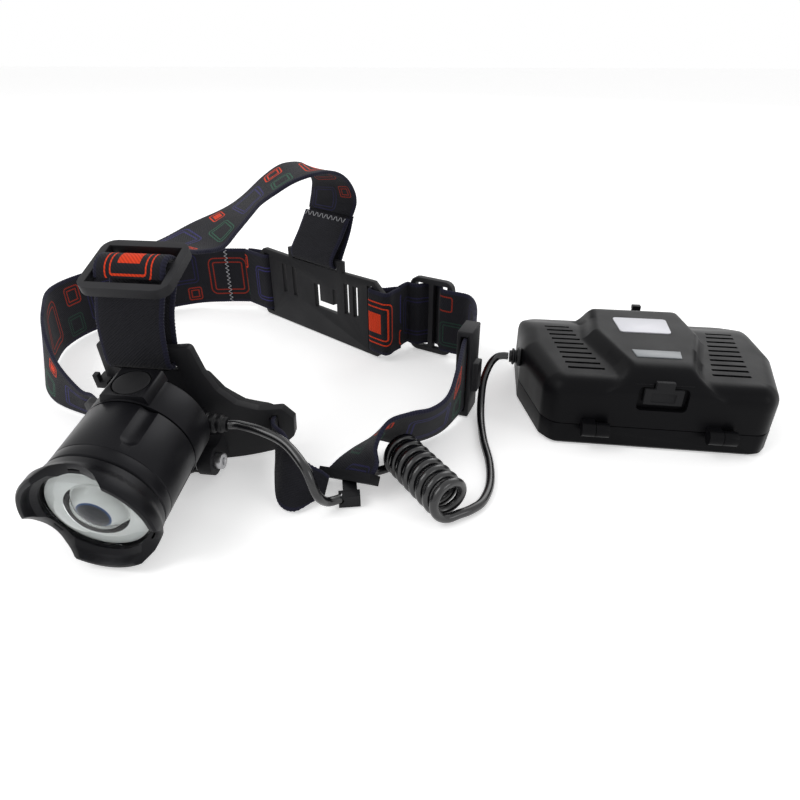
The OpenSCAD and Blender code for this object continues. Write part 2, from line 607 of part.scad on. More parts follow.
module battery_cells() color("#2f6fae") for (i = [-1:1]) along_x(-34.6, i * cell_gap, cell_z) {
    cylinder(r = cell_d / 2, h = 65);
    translate([0, 0, 64.9]) cylinder(r = 3, h = 1.1);
}

module contact_springs() color(steel) for (i = [-1:1])
    along_x(31.4, i * cell_gap, cell_z) difference() {
        cylinder(r = 3.4, h = 4.2);
        translate([0, 0, -1]) cylinder(r = 2.6, h = 7);
    }

module contact_plates() color(steel) for (i = [-1:1])
    translate([-35.2, i * cell_gap - 5, cell_z - 5]) cube([0.6, 10, 8]);

module circuit_board() color("#1f6b3a") difference() {
    translate([0, 0, board_z]) linear_extrude(1.6)
        polygon(both_sides([[7, -28], [13, -6], [13, 19]]));
    for (p = posts) translate(p + [0, 0, board_z - 1]) cylinder(r = 1.1, h = 4);
}

module charging_socket() color(steel) difference() {
    translate([-4.5, -33, port_z - 1.6]) cube([9, 7, 3.2]);
    translate([-3.8, -34, port_z - 0.9]) cube([7.6, 6.5, 1.8]);
}

module indicator_lamps() color("#c23a3a") for (x = [-5.4, -1.8, 1.8, 5.4])
    translate([x, -19.4, board_z + 1.6]) cylinder(r = 0.9, h = 1.4);

module indicator_window() color("#8a8f94") translate([0, 0, ridge_h - 1.7]) linear_extrude(1.6)
    polygon([[-7.7, -22.3], [7.7, -22.3], [8.5, -16.5], [-8.5, -16.5]]);

module label_plate() color("#d9d9dd") translate([0, 0, ridge_h - 0.6]) linear_extrude(0.55)
    polygon(rounded([[-9.5, 0], [9.5, 0], [10.5, 14.4], [-10.5, 14.4]], 1.5));

// Rubber flap over the port: a tab at the top, where it bends, and a wider body
module port_cover() color("#141416") difference() {
    union() {
        translate([-6.5, -36, 18.4]) cube([13, 1.9, 5.8]);
        translate([-3.1, -36, 24]) cube([6.2, 1.9, 3]);
    }
    translate([-4, -36.3, 19.4]) cube([8, 0.8, 3.4]);
}

module box_strain_relief() color(black) along_x(gland_at[0], gland_at[1], gland_at[2])
    rotate_extrude() polygon([[0, 0], [2.4, 0], [2.4, 0.9], [3.3, 1.1], [3.3, 1.9],
        [2.6, 2.1], [2.6, 2.7], [3.8, 2.9], [3.8, 4.4], [1.5, 4.4], [1.5, 6], [0, 6]]);

module latch_lever() color(black) difference() {
    union() {
        along_x(-6.2, latch_y, latch_z) cylinder(r = 2, h = 12.4);
        translate([-6.2, latch_y - 2, latch_z]) cube([12.4, 2.4, 16]);
        translate([2.6, latch_y - 2, 19.9]) cube([3.6, 1.8, 7.4]);
        translate([2.6, latch_y - 2, 25.7]) cube([3.6, 2.6, 1.6]);
    }
    along_x(-8, latch_y, latch_z) cylinder(r = 1.06, h = 20);
}

module latch_pin() color(steel) along_x(-8.6, latch_y, latch_z) cylinder(r = 1, h = 17.2);

module board_screws() color(steel) for (p = posts) translate(p + [0, 0, board_z]) {
    translate([0, 0, -1.1]) cylinder(r = 1.8, h = 1.1);
    translate([0, 0, -0.1]) cylinder(r = 0.99, h = 4.4);
}

// ---------------------------------------------------------------- lead

front_route = [[-141.1, -73.4, 22.5], [-137.5, -73.4, 22.6], [-129.5, -76.5, 23],
    [-121, -80, 21.5], [-113.5, -86, 17.5], [-110, -88, 9.5], [-107.9, -84.8, 4.2],
    [-104.6, -81.5, 3]];
middle_route = [[-103.2, -71.5, 2], [-103.8, -68.4, 2], [-102.9, -66, 2], [-100, -65.1, 2],
    [-96.8, -64.9, 2], [-94, -63.4, 2], [-91.4, -61.35, 1.95]];
rear_route = [[-67.13, -82.65, 1.95], [-63.5, -79.8, 1.8], [-60, -75, 1.6],
    [-57.8, -66, 1.6], [-58, -54, 1.6], [-60.2, -40, 1.6], [-61.4, -26, 2.2],
    [-61.6, -16, 5.2], [-61, -9, 10], [-59, -4.4, 14.6], [-56.5, -2.4, 17.3],
    [-54, -2, 18], [-51.8, -2, 18]];

module lead_front() color("#141416") tube(smooth(front_route, 2), lead_d);
module lead_middle() color("#141416") tube(smooth(middle_route, 2), lead_d);
module lead_rear() color("#141416") tube(smooth(rear_route, 2), lead_d);

// The coil: a helix of eight rings a turn that lies on the surface, with straight ends
curl_rings = 8;
coil_from = [-89, -59.5, 7.7];
coil_to = [-69.5, -84.5, 7.7];
coil_side = cross([0, 0, 1], unit(coil_to - coil_from));
coil_end = coil_turns * curl_rings;
function curl(i) = let (a = 360 * i / curl_rings) coil_from
    + (coil_to - coil_from) * i / coil_end
    + coil_r * ([0, 0, -1] * cos(a) + coil_side * sin(a));
coil_points = concat([curl(0) - coil_side * lead_d], [for (i = [0:coil_end]) curl(i)],
    [curl(coil_end) + coil_side * lead_d]);
// Least gap of the coil to itself, between points more than half a turn apart
coil_gap = min([for (i = [0:coil_end], j = [i + curl_rings / 2 + 1:coil_end])
    norm(curl(i) - curl(j))]) - lead_d;
echo(coil_gap = coil_gap);
module coil_lead() color("#141416") tube(coil_points, lead_d, 6);

bezel();
lens();
lens_seal();
focus_sleeve();
lamp_housing();
focus_o_ring();
led_carrier();
led_board();
led_emitter();
driver_board();
switch_module();
switch_button();
lamp_strain_relief();
hinge_screw();
hinge_nut();
tilt_washers();
front_plate();
forehead_pad();
head_strap_left();
head_strap_right();
front_right_strap();
top_strap();
top_front_loop();
top_rear_loop();
rear_loop_left();
rear_loop_right();
rear_plate();
top_buckle();
rear_buckle();
strap_keeper();
lead_clip();
box_tray();
box_cover();
hinge_pins();
battery_cells();
contact_springs();
contact_plates();
circuit_board();
charging_socket();
indicator_lamps();
indicator_window();
label_plate();
port_cover();
box_strain_relief();
latch_lever();
latch_pin();
board_screws();
lead_front();
lead_middle();
coil_lead();
lead_rear();
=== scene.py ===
import json
import math

import bmesh
import bpy
import numpy as np
from mathutils import Matrix, Vector

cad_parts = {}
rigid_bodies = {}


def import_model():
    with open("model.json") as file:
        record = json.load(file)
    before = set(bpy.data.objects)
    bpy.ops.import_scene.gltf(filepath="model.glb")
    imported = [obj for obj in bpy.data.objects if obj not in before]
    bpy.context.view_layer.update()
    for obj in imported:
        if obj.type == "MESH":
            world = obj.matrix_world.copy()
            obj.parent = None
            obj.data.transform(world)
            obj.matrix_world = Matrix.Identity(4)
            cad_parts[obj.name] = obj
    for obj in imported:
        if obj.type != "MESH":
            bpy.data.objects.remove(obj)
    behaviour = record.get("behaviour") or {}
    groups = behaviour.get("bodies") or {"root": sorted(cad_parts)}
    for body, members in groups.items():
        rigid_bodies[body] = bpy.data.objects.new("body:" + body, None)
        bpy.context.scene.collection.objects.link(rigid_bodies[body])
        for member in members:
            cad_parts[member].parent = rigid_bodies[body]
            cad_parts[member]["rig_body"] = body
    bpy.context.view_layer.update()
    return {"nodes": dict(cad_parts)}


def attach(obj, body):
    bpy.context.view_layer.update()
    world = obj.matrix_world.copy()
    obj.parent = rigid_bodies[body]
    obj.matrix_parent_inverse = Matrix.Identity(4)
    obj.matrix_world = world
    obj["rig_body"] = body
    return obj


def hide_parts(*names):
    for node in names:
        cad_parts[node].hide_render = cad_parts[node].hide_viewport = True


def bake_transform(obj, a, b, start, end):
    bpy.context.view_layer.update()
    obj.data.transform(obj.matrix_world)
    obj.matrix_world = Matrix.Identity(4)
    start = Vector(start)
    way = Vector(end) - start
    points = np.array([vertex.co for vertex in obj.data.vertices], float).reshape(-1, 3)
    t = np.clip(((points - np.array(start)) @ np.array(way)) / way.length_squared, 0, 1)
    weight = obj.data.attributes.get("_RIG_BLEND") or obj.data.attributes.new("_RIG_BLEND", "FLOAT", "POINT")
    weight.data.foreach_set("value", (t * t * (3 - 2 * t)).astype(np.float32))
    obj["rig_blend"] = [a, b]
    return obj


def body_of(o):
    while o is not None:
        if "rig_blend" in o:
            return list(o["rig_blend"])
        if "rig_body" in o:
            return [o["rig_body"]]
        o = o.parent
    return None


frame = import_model()

# ---------------------------------------------------------------- camera
# The view looks down over the lamp's front, with the harness behind it and the battery box
# to the right.
camera_data = bpy.data.cameras.new("camera")
camera_data.sensor_width = 36.0
camera_data.lens = 27.36
camera = bpy.data.objects.new("camera", camera_data)
camera.location = (-0.0664, -0.2279, 0.1247)
camera.rotation_euler = (math.radians(60.2), 0.0, math.radians(7.44))
bpy.context.collection.objects.link(camera)
bpy.context.scene.camera = camera

# ---------------------------------------------------------------- leads
# The lead is a round PVC cable of 3 mm: a short run from the lamp to the clip, one along the
# band, a stretch moulded into eight curls, and one to the battery box's gland.
MM = 0.001
WAVE = 0.314          # a wave texture at this scale repeats once to each unit


def linear(colour):
    """An sRGB hex colour as the linear RGBA that Blender works in."""
    parts = [int(colour[i:i + 2], 16) / 255 for i in (1, 3, 5)]
    return [*(c / 12.92 if c <= 0.04045 else ((c + 0.055) / 1.055) ** 2.4 for c in parts), 1.0]


def add(tree, kind, inputs=(), **settings):
    """Adds a node; an input given as a node or a socket is linked, and other values are set."""
    node = tree.nodes.new(kind)
    for name, value in settings.items():
        setattr(node, name, value)
    for key, value in dict(inputs).items():
        source = value.outputs[0] if isinstance(value, bpy.types.Node) else value
        if isinstance(source, bpy.types.NodeSocket):
            tree.links.new(source, node.inputs[key])
        else:
            node.inputs[key].default_value = source
    return node


def calc(tree, operation, *values):
    """A maths node on one to three values."""
    return add(tree, "ShaderNodeMath", dict(enumerate(values)), operation=operation)


def finish(name, colours, roughness, grain, relief, patch=14.0, **sockets):
    """A material whose colour and roughness drift over patches, with a fine grain raised on it.

    Grain, patch and relief are sizes in millimetres.
    """
    made = bpy.data.materials.new(name)
    made.use_nodes = True
    tree = made.node_tree
    shader = tree.nodes["Principled BSDF"]
    place = add(tree, "ShaderNodeTexCoord").outputs["Object"]
    drift = add(tree, "ShaderNodeTexNoise",
                {"Vector": place, "Scale": 1 / (patch * MM), "Detail": 3.0})
    fine = add(tree, "ShaderNodeTexNoise",
               {"Vector": place, "Scale": 1 / (grain * MM), "Detail": 2.0})
    tint = add(tree, "ShaderNodeMix", {0: drift, 6: linear(colours[0]), 7: linear(colours[1])},
               data_type="RGBA")
    rough = add(tree, "ShaderNodeMapRange",
                {0: drift, 1: 0.3, 2: 0.7, 3: roughness[0], 4: roughness[1]})
    bump = add(tree, "ShaderNodeBump", {"Height": fine, "Distance": relief * MM, "Strength": 1.0})
    tree.links.new(tint.outputs[2], shader.inputs["Base Color"])
    tree.links.new(rough.outputs[0], shader.inputs["Roughness"])
    tree.links.new(bump.outputs[0], shader.inputs["Normal"])
    for key, value in sockets.items():
        shader.inputs[key.replace("_", " ")].default_value = value
    return made


def smooth_line(points, steps):
    """A Catmull-Rom curve through the points, with so many steps to each span."""
    p = np.array(points, float)
    p = np.vstack([p[:1], p, p[-1:]])
    t = np.arange(steps)[:, None] / steps
    spans = [0.5 * (2 * b + (c - a) * t + (2 * a - 5 * b + 4 * c - d) * t ** 2
                    + (3 * b - a - 3 * c + d) * t ** 3)
             for a, b, c, d in zip(p, p[1:], p[2:], p[3:])]
    return np.vstack([*spans, p[-1:]])


def make_piece(name, points, faces, look, crease=35.0):
    """A mesh piece from points in millimetres, shaded smooth except across creases."""
    mesh = bpy.data.meshes.new(name)
    mesh.from_pydata((np.array(points, float) * MM).tolist(), [], faces)
    work = bmesh.new()
    work.from_mesh(mesh)
    bmesh.ops.recalc_face_normals(work, faces=work.faces)
    work.to_mesh(mesh)
    work.free()
    mesh.shade_smooth()
    mesh.set_sharp_from_angle(angle=math.radians(crease))
    mesh.materials.append(look)
    piece = bpy.data.objects.new(name, mesh)
    bpy.context.collection.objects.link(piece)
    return piece


def ring_faces(rings, around, closed=False):
    """Quads between rings of points, with an end face at each end unless the rings close up."""
    faces = [[i * around + j, i * around + (j + 1) % around,
              (i + 1) % rings * around + (j + 1) % around, (i + 1) % rings * around + j]
             for i in range(rings if closed else rings - 1) for j in range(around)]
    if not closed:
        faces.append(list(range(around)))
        faces.append([(rings - 1) * around + j for j in range(around)])
    return faces


def tube(name, line, radius, look, around=16):
    """A round tube along a line, with its rings carried on from one to the next."""
    p = np.array(line, float)
    along = np.gradient(p, axis=0)
    along /= np.linalg.norm(along, axis=1)[:, None]
    normal = np.array([0.0, 0.0, 1.0])
    if abs(along[0] @ normal) > 0.9:
        normal = np.array([1.0, 0.0, 0.0])
    angle = np.arange(around) * 2 * math.pi / around
    rings = []
    for centre, ahead in zip(p, along):
        normal = normal - ahead * (normal @ ahead)
        normal /= np.linalg.norm(normal)
        side = np.cross(ahead, normal)
        rings.append(centre + radius * (np.cos(angle)[:, None] * normal
                                        + np.sin(angle)[:, None] * side))
    return make_piece(name, np.vstack(rings), ring_faces(len(p), around), look)


def fit(piece, slot, *nodes):
    """The piece stands for CAD nodes of one body and rides on it. The slot is not used."""
    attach(piece, body_of(frame["nodes"][nodes[0]])[0])
    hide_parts(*nodes)
    return piece


# Flexible PVC, extruded: near black, with a soft gloss that follows the cable's roundness
lead_pvc = finish("extruded_black_pvc", ("#0b0b0d", "#131316"), (0.22, 0.32), 1.2, 0.006,
                  Coat_Weight=0.3, Coat_Roughness=0.15)
lead_d = 3.0
front_route = [[-141.1, -73.4, 22.5], [-137.5, -73.4, 22.6], [-129.5, -76.5, 23],
               [-121, -80, 21.5], [-113.5, -86, 17.5], [-110, -88, 9.5], [-107.9, -84.8, 4.2],
               [-104.6, -81.5, 3]]
middle_route = [[-103.2, -71.5, 2], [-103.8, -68.4, 2], [-102.9, -66, 2], [-100, -65.1, 2],
                [-96.8, -64.9, 2], [-94, -63.4, 2], [-91.4, -61.35, 1.95]]
rear_route = [[-67.13, -82.65, 1.95], [-63.5, -79.8, 1.8], [-60, -75, 1.6],
              [-57.8, -66, 1.6], [-58, -54, 1.6], [-60.2, -40, 1.6], [-61.4, -26, 2.2],
              [-61.6, -16, 5.2], [-61, -9, 10], [-59, -4.4, 14.6], [-56.5, -2.4, 17.3],
              [-54, -2, 18], [-51.8, -2, 18]]
coil_turns = 8
coil_radius = 5.75
coil_from = np.array([-89, -59.5, 7.7])
coil_to = np.array([-69.5, -84.5, 7.7])
coil_rings = 40
coil_axis = (coil_to - coil_from) / np.linalg.norm(coil_to - coil_from)
coil_side = np.cross([0, 0, 1], coil_axis)
turn = np.arange(coil_turns * coil_rings + 1)[:, None] / coil_rings
coil_line = (coil_from + (coil_to - coil_from) * turn / coil_turns
             + coil_radius * (np.array([0, 0, -1]) * np.cos(2 * math.pi * turn)
                              + coil_side * np.sin(2 * math.pi * turn)))
coil_line = np.vstack([coil_line[:1] - coil_side * lead_d, coil_line,
                       coil_line[-1:] + coil_side * lead_d])


def lead(name, line, lay, *nodes):
    """One stretch of the lead: a tube along its line, with the CAD nodes it stands for hidden."""
    line = np.array(line)
    piece = tube(name, line, lead_d / 2, lead_pvc)
    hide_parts(*nodes)
    return piece


lamp_lead = lead("lamp_lead", smooth_line(front_route, 8), "loose", "lead_front")
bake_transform(lamp_lead, "lamp", "harness", start=(-0.1405, -0.0734, 0.0225),
         end=(-0.113, -0.086, 0.0175))
curly_lead = lead("curly_lead", np.vstack([smooth_line(middle_route, 8)[:-1], coil_line]),
                  "coiled", "lead_middle", "coil_lead")
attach(curly_lead, "harness")
box_lead = lead("box_lead", smooth_line(rear_route, 8), "loose", "lead_rear")
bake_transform(box_lead, "harness", "lid", start=(-0.0614, -0.026, 0.0022), end=(-0.054, -0.002, 0.018))

# ---------------------------------------------------------------- lamp casing
# The bezel, focusing sleeve and housing are turned from aluminium, their edges broken, and
# anodised black: satin, with faint rings where the tool went round.
front_at = Vector((-161.5, -120.0, 19.3)) * MM
front_lean = math.radians(10)
lamp_frame = Matrix.Translation(front_at) @ Matrix.Rotation(front_lean, 4, "X")
lamp_axis = lamp_frame @ Matrix.Rotation(-math.pi / 2, 4, "X")


def eased_copy(node, look, slot, width, crease=32.0, segments=2):
    """A copy of a CAD node with its sharp edges rounded over, which stands for the node."""
    source = frame["nodes"][node]
    work = bmesh.new()
    work.from_mesh(source.data)
    bmesh.ops.remove_doubles(work, verts=work.verts, dist=0.002 * MM)
    bmesh.ops.dissolve_limit(work, angle_limit=math.radians(0.5), verts=work.verts,
                             edges=work.edges)
    sharp = [e for e in work.edges if len(e.link_faces) == 2
             and e.calc_face_angle(0.0) > math.radians(crease)]
    bmesh.ops.bevel(work, geom=sharp, offset=width * MM, offset_type="OFFSET", segments=segments,
                    profile=0.5, affect="EDGES", clamp_overlap=True)
    mesh = bpy.data.meshes.new(node)
    work.to_mesh(mesh)
    work.free()
    mesh.shade_smooth()
    mesh.set_sharp_from_angle(angle=math.radians(40))
    mesh.materials.append(look)
    piece = bpy.data.objects.new(node + "_eased", mesh)
    bpy.context.collection.objects.link(piece)
    return fit(piece, slot, node)


# Black anodising over turned aluminium: a dark metal with a fine matt tooth
anodised = finish("satin_black_anodising", ("#0c0c0f", "#141418"), (0.33, 0.42), 0.5, 0.004,
                  Metallic=0.35, Specular_IOR_Level=0.2)
tree = anodised.node_tree
on_axis = add(tree, "ShaderNodeMapping", {
    "Vector": tree.nodes["Texture Coordinate"].outputs["Object"], "Location": front_at,
    "Rotation": (front_lean, 0.0, 0.0)}, vector_type="TEXTURE")
# Tool marks are finer than can show, so they are drawn 0.7 mm apart
rings = add(tree, "ShaderNodeTexWave",
            {"Vector": on_axis, "Scale": WAVE / (0.7 * MM), "Distortion": 0.4},
            bands_direction="Y", wave_type="BANDS")
marks = add(tree, "ShaderNodeBump", {"Height": rings, "Distance": 0.003 * MM, "Strength": 0.6,
                                     "Normal": tree.nodes["Bump"].outputs[0]})
tree.links.new(marks.outputs[0], tree.nodes["Principled BSDF"].inputs["Normal"])
for casing in ("bezel", "focus_sleeve", "lamp_housing"):
    eased_copy(casing, anodised, "black_anodised", 0.3)

# ---------------------------------------------------------------- lens
# A thick moulded lens, domed in front and hollow behind, sits in its seal. The bright bore and
# the pale board behind it give it a milky look.


def revolve(name, profile, look, matrix, around=96, crease=35.0):
    """A closed profile of (radius, height) turned about an axis."""
    angle = np.arange(around) * 2 * math.pi / around
    rings = np.array([[[r * math.cos(a), r * math.sin(a), z] for a in angle] for r, z in profile])
    piece = make_piece(name, rings.reshape(-1, 3), ring_faces(len(profile), around, True), look,
                       crease)
    piece.data.transform(matrix)
    return piece


lens_clear = bpy.data.materials.new("polished_clear_acrylic")
lens_clear.use_nodes = True
tree = lens_clear.node_tree
shader = tree.nodes["Principled BSDF"]
wisp = add(tree, "ShaderNodeTexNoise", {
    "Vector": add(tree, "ShaderNodeTexCoord").outputs["Object"], "Scale": 120.0, "Detail": 2.0})
cloud = add(tree, "ShaderNodeMapRange", {0: wisp, 1: 0.4, 2: 0.7, 3: 0.02, 4: 0.07})
tree.links.new(cloud.outputs[0], shader.inputs["Roughness"])
shader.inputs["Base Color"].default_value = linear("#f4f7f8")
shader.inputs["Transmission Weight"].default_value = 1.0
# Below acrylic's 1.49, which keeps the white room's reflection off the dark emitter
shader.inputs["IOR"].default_value = 1.25
dome_r = 28.0
hollow_r = 10.0
hollow_at = 12.2      # how far back the centre of the lens's round hollow lies
dome = [(r, 1.2 + dome_r - math.sqrt(dome_r ** 2 - r ** 2)) for r in np.linspace(0.02, 14.1, 24)]
hollow = [(r, hollow_at - math.sqrt(hollow_r ** 2 - r ** 2))
          for r in np.linspace(8.285, 0.02, 24)]
lens_profile = [*dome, (14.2, 5.0), (15.5, 5.05), (15.55, 6.5), (14.0, 6.6), *hollow]
lens = revolve("lens_dome", lens_profile, lens_clear, lamp_axis)
fit(lens, "clear_lens", "lens")

# ---------------------------------------------------------------- webbing
# Woven elastic, 30 mm wide and 1.4 mm thick, with a twill rib and a dark blue thread along
# each edge. Rounded squares are woven in orange, green and violet; the inside shows them dimmer.
band_w = 30.0
band_t = 1.4
inside = 100.0        # added to the width's coordinate on the face that lies inwards


def band(name, low, high, look, slot, *nodes, start=0.0):
    """Webbing between two edge lines. Its UV map is in millimetres: along, and across."""
    low, high = smooth_line(low, 12), smooth_line(high, 12)
    middle = (low + high) / 2
    reach = np.append(0, np.cumsum(np.linalg.norm(np.diff(middle, axis=0), axis=1)))
    at = np.linspace(0, reach[-1], max(int(reach[-1] / 0.6), 8) + 1)
    low, high = (np.stack([np.interp(at, reach, p[:, k]) for k in range(3)], 1)
                 for p in (low, high))
    ahead = np.gradient((low + high) / 2, axis=0)
    across = high - low
    width = np.linalg.norm(across, axis=1)[:, None]
    across = across / width
    out = np.cross(ahead, across)
    out /= np.linalg.norm(out, axis=1)[:, None]
    half = band_t / 2
    flat = np.linspace(0, 1, 12)
    bend = np.radians([60, 30, 0, -30, -60])
    section = ([("flat", s, 1) for s in flat] + [("high", a, 0) for a in bend]
               + [("flat", s, -1) for s in flat[::-1]] + [("low", a, 0) for a in -bend])
    # The weave's ribs make the edge run in small waves
    wave = 0.1 * np.sin(at * 2 * math.pi / 1.3)[:, None]
    columns = []
    for kind, s, side in section:
        if kind == "flat":
            columns.append(low + across * (half + s * (width - 2 * half)) + out * side * half)
        else:
            reach_out = across * (half * (math.cos(s) - 1) + wave)
            edge = high + reach_out if kind == "high" else low - reach_out
            columns.append(edge + out * half * math.sin(s))
    around = len(section)
    points = np.stack(columns, 1).reshape(-1, 3)
    piece = make_piece(name, points, ring_faces(len(at), around), look, 50.0)
    heights = np.array([{"flat": band_w * s, "low": 0.0, "high": band_w}[kind]
                        for kind, s, _ in section])
    layer = piece.data.uv_layers.new(name="weave")
    index = np.array([loop.vertex_index for loop in piece.data.loops])
    column, row = index % around, index // around
    uv = np.stack([start + at[row], heights[column]], 1)
    sides = np.array([side for _, _, side in section])[column]
    # A face lies on the inner side where any of its corners does
    for face in piece.data.polygons:
        loops = list(face.loop_indices)
        if (sides[loops] == -1).any():
            uv[loops, 1] += inside
    layer.data.foreach_set("uv", uv.astype(np.float32).ravel())
    return fit(piece, slot, *nodes)


def squares_group():
    """A node group: how far a point is outside a rounded square, with the pattern repeated."""
    group = bpy.data.node_groups.new("rounded_square", "ShaderNodeTree")
    names = ("Along", "Across", "Centre along", "Centre across", "Half", "Corner", "Repeat")
    for name in names:
        group.interface.new_socket(name, in_out="INPUT", socket_type="NodeSocketFloat")
    group.interface.new_socket("Distance", in_out="OUTPUT", socket_type="NodeSocketFloat")
    given = group.nodes.new("NodeGroupInput")
    half_repeat = calc(group, "MULTIPLY", given.outputs["Repeat"], 0.5)
    low_repeat = calc(group, "MULTIPLY", half_repeat, -1.0)
    run = calc(group, "SUBTRACT", given.outputs["Along"], given.outputs["Centre along"])
    run = calc(group, "WRAP", run, half_repeat, low_repeat)
    rise = calc(group, "SUBTRACT", given.outputs["Across"], given.outputs["Centre across"])
    inset = calc(group, "SUBTRACT", given.outputs["Half"], given.outputs["Corner"])
    legs = [calc(group, "SUBTRACT", calc(group, "ABSOLUTE", d), inset) for d in (run, rise)]
    over = [calc(group, "MAXIMUM", leg, 0.0) for leg in legs]
    square = [calc(group, "MULTIPLY", leg, leg) for leg in over]
    outer = calc(group, "SQRT", calc(group, "ADD", *square))
    inner = calc(group, "MINIMUM", calc(group, "MAXIMUM", *legs), 0.0)
    result = calc(group, "SUBTRACT", calc(group, "ADD", outer, inner), given.outputs["Corner"])
    add(group, "NodeGroupOutput", {"Distance": result})
    return group


ORANGE, GREEN, VIOLET = "#e8431f", "#2f5a48", "#37346b"
# Each motif: place along and across, half size, corner, colour, depths of its lines, core depth
motifs = [(11, 15, 11, 4, ORANGE, (0.6, 3.0), 6.0), (36, 20, 8.5, 3, VIOLET, (0.6, 2.4), None),
          (31, 5.5, 4, 1.5, ORANGE, (0.5, 2.0), None), (54, 9, 6.5, 2.5, GREEN, (0.5, 2.0), None),
          (58, 24, 4, 1.5, ORANGE, (0.5,), 1.8), (78, 14, 10, 3.5, VIOLET, (0.6, 2.4), None),
          (96, 22, 5, 2, ORANGE, (0.5, 2.2), None), (98, 7, 5.5, 2, GREEN, (0.5, 2.0), None)]
repeat = 110.0
line_half = 0.34      # half the width of a woven line
inside_strength = 0.35
edge_thread = 0.9     # width of the dark blue edge


def webbing(name, printed):
    """Elastic webbing: near black, ribbed on the skew, with the woven motifs if printed."""
    made = bpy.data.materials.new(name)
    made.use_nodes = True
    tree = made.node_tree
    shader = tree.nodes["Principled BSDF"]
    uv = add(tree, "ShaderNodeUVMap", uv_map="weave")
    split = add(tree, "ShaderNodeSeparateXYZ", {0: uv})
    along, across = split.outputs[0], split.outputs[1]
    turned = calc(tree, "GREATER_THAN", across, inside / 2)
    across = calc(tree, "SUBTRACT", across, calc(tree, "MULTIPLY", turned, inside))
    drift = add(tree, "ShaderNodeTexNoise", {"Vector": uv, "Scale": 0.12, "Detail": 3.0})
    ground = add(tree, "ShaderNodeMix", {0: drift, 6: linear("#15151a"), 7: linear("#202026")},
                 data_type="RGBA").outputs[2]
    if printed:
        group = squares_group()
        # The inside face carries the threads' backs: dim outlines, without the solid middles
        strength = add(tree, "ShaderNodeMapRange", {0: turned, 3: 1.0, 4: inside_strength})
        outer_face = calc(tree, "SUBTRACT", 1.0, turned)
        for u, v, half, corner, colour, lines, core in motifs:
            shape = add(tree, "ShaderNodeGroup", node_tree=group)
            tree.links.new(along, shape.inputs["Along"])
            tree.links.new(across.outputs[0], shape.inputs["Across"])
            for key, value in (("Centre along", u), ("Centre across", v), ("Half", half),
                               ("Corner", corner), ("Repeat", repeat)):
                shape.inputs[key].default_value = value
            mask = None
            for depth in lines:
                line = calc(tree, "COMPARE", shape, -depth, line_half)
                mask = calc(tree, "MAXIMUM", mask, line) if mask else line
            if core:
                middle = calc(tree, "LESS_THAN", shape, -core)
                mask = calc(tree, "MAXIMUM", mask, calc(tree, "MULTIPLY", middle, outer_face))
            mask = calc(tree, "MULTIPLY", mask, strength)
            ground = add(tree, "ShaderNodeMix", {0: mask, 6: ground, 7: linear(colour)},
                         data_type="RGBA").outputs[2]
    # A dark blue thread runs along both edges
    margin = calc(tree, "ABSOLUTE", calc(tree, "SUBTRACT", across, band_w / 2))
    edge = calc(tree, "GREATER_THAN", margin, band_w / 2 - edge_thread)
    ground = add(tree, "ShaderNodeMix", {0: edge, 6: ground, 7: linear("#1f1f30")},
                 data_type="RGBA").outputs[2]
    # Skewed ribs 0.9 mm apart, crossed by finer threads
    skew = add(tree, "ShaderNodeMapping",
               {"Vector": uv, "Rotation": (0.0, 0.0, math.radians(32))})
    ribs = add(tree, "ShaderNodeTexWave", {"Vector": skew, "Scale": WAVE / 0.9, "Distortion": 0.3},
               bands_direction="X")
    threads = add(tree, "ShaderNodeTexWave",
                  {"Vector": uv, "Scale": WAVE / 0.55, "Distortion": 0.6}, bands_direction="Y")
    weave = calc(tree, "ADD", ribs, calc(tree, "MULTIPLY", threads, 0.45))
    # Painted shade and highlight: the colour is darkened between the ribs and lightened on their tops,
    # following the bump's heights
    shade = add(tree, "ShaderNodeMapRange", {0: weave, 1: 0.0, 2: 1.45, 3: 0.62, 4: 1.12})
    colour = add(tree, "ShaderNodeMix", {0: 1.0, 6: ground, 7: shade}, data_type="RGBA",
                 blend_type="MULTIPLY")
    bump = add(tree, "ShaderNodeBump", {"Height": weave, "Distance": 0.09 * MM, "Strength": 1.0})
    tree.links.new(colour.outputs[2], shader.inputs["Base Color"])
    tree.links.new(bump.outputs[0], shader.inputs["Normal"])
    shader.inputs["Roughness"].default_value = 0.85
    shader.inputs["Specular IOR Level"].default_value = 0.2
    shader.inputs["Sheen Weight"].default_value = 0.06
    shader.inputs["Sheen Roughness"].default_value = 0.4
    return made


printed_webbing = webbing("woven_elastic_with_squares", True)
plain_webbing = webbing("woven_elastic_plain", False)

left_low = [[-190.5, 82, 3.2], [-203, 81, 3], [-222, 78, 2], [-243, 63, 1], [-258, 40, 0.8],
            [-261, 18, 0.8], [-254, -3, 0.8], [-246, -20, 0.8], [-233, -33, 0.8],
            [-216, -40.5, 0.9], [-206, -43.5, 1.6], [-201, -47.2, 2], [-195.5, -50.8, 2.5]]
left_high = [[-190.5, 82, 33.2], [-203, 81, 33], [-222, 78, 32], [-243, 63, 31], [-258, 40, 30.6],
             [-261, 18, 30.6], [-250, -4, 30], [-238, -22, 27], [-226, -35, 20.5],
             [-212.5, -44.5, 14.9], [-205.5, -48.2, 15], [-201, -52, 15.5], [-195.5, -56, 16.8]]
band("band_left", left_low, left_high, printed_webbing, "printed_webbing", "head_strap_left")

front_right_low = [[-132.3, -54.7, 6], [-131, -60, 5], [-128, -73, 2], [-123.7, -84, 0.9],
                   [-118, -86.8, 0.8], [-113, -82, 1.4], [-110, -80.3, 1.9]]
front_right_high = [[-132.3, -56.5, 16.7], [-131, -62, 17], [-126, -66, 16], [-121.5, -71, 13.5],
                    [-115.5, -75, 11], [-111, -76.2, 9.5], [-108.5, -77.4, 8.5]]
band("band_front_right", front_right_low, front_right_high, plain_webbing, "plain_webbing",
     "front_right_strap")

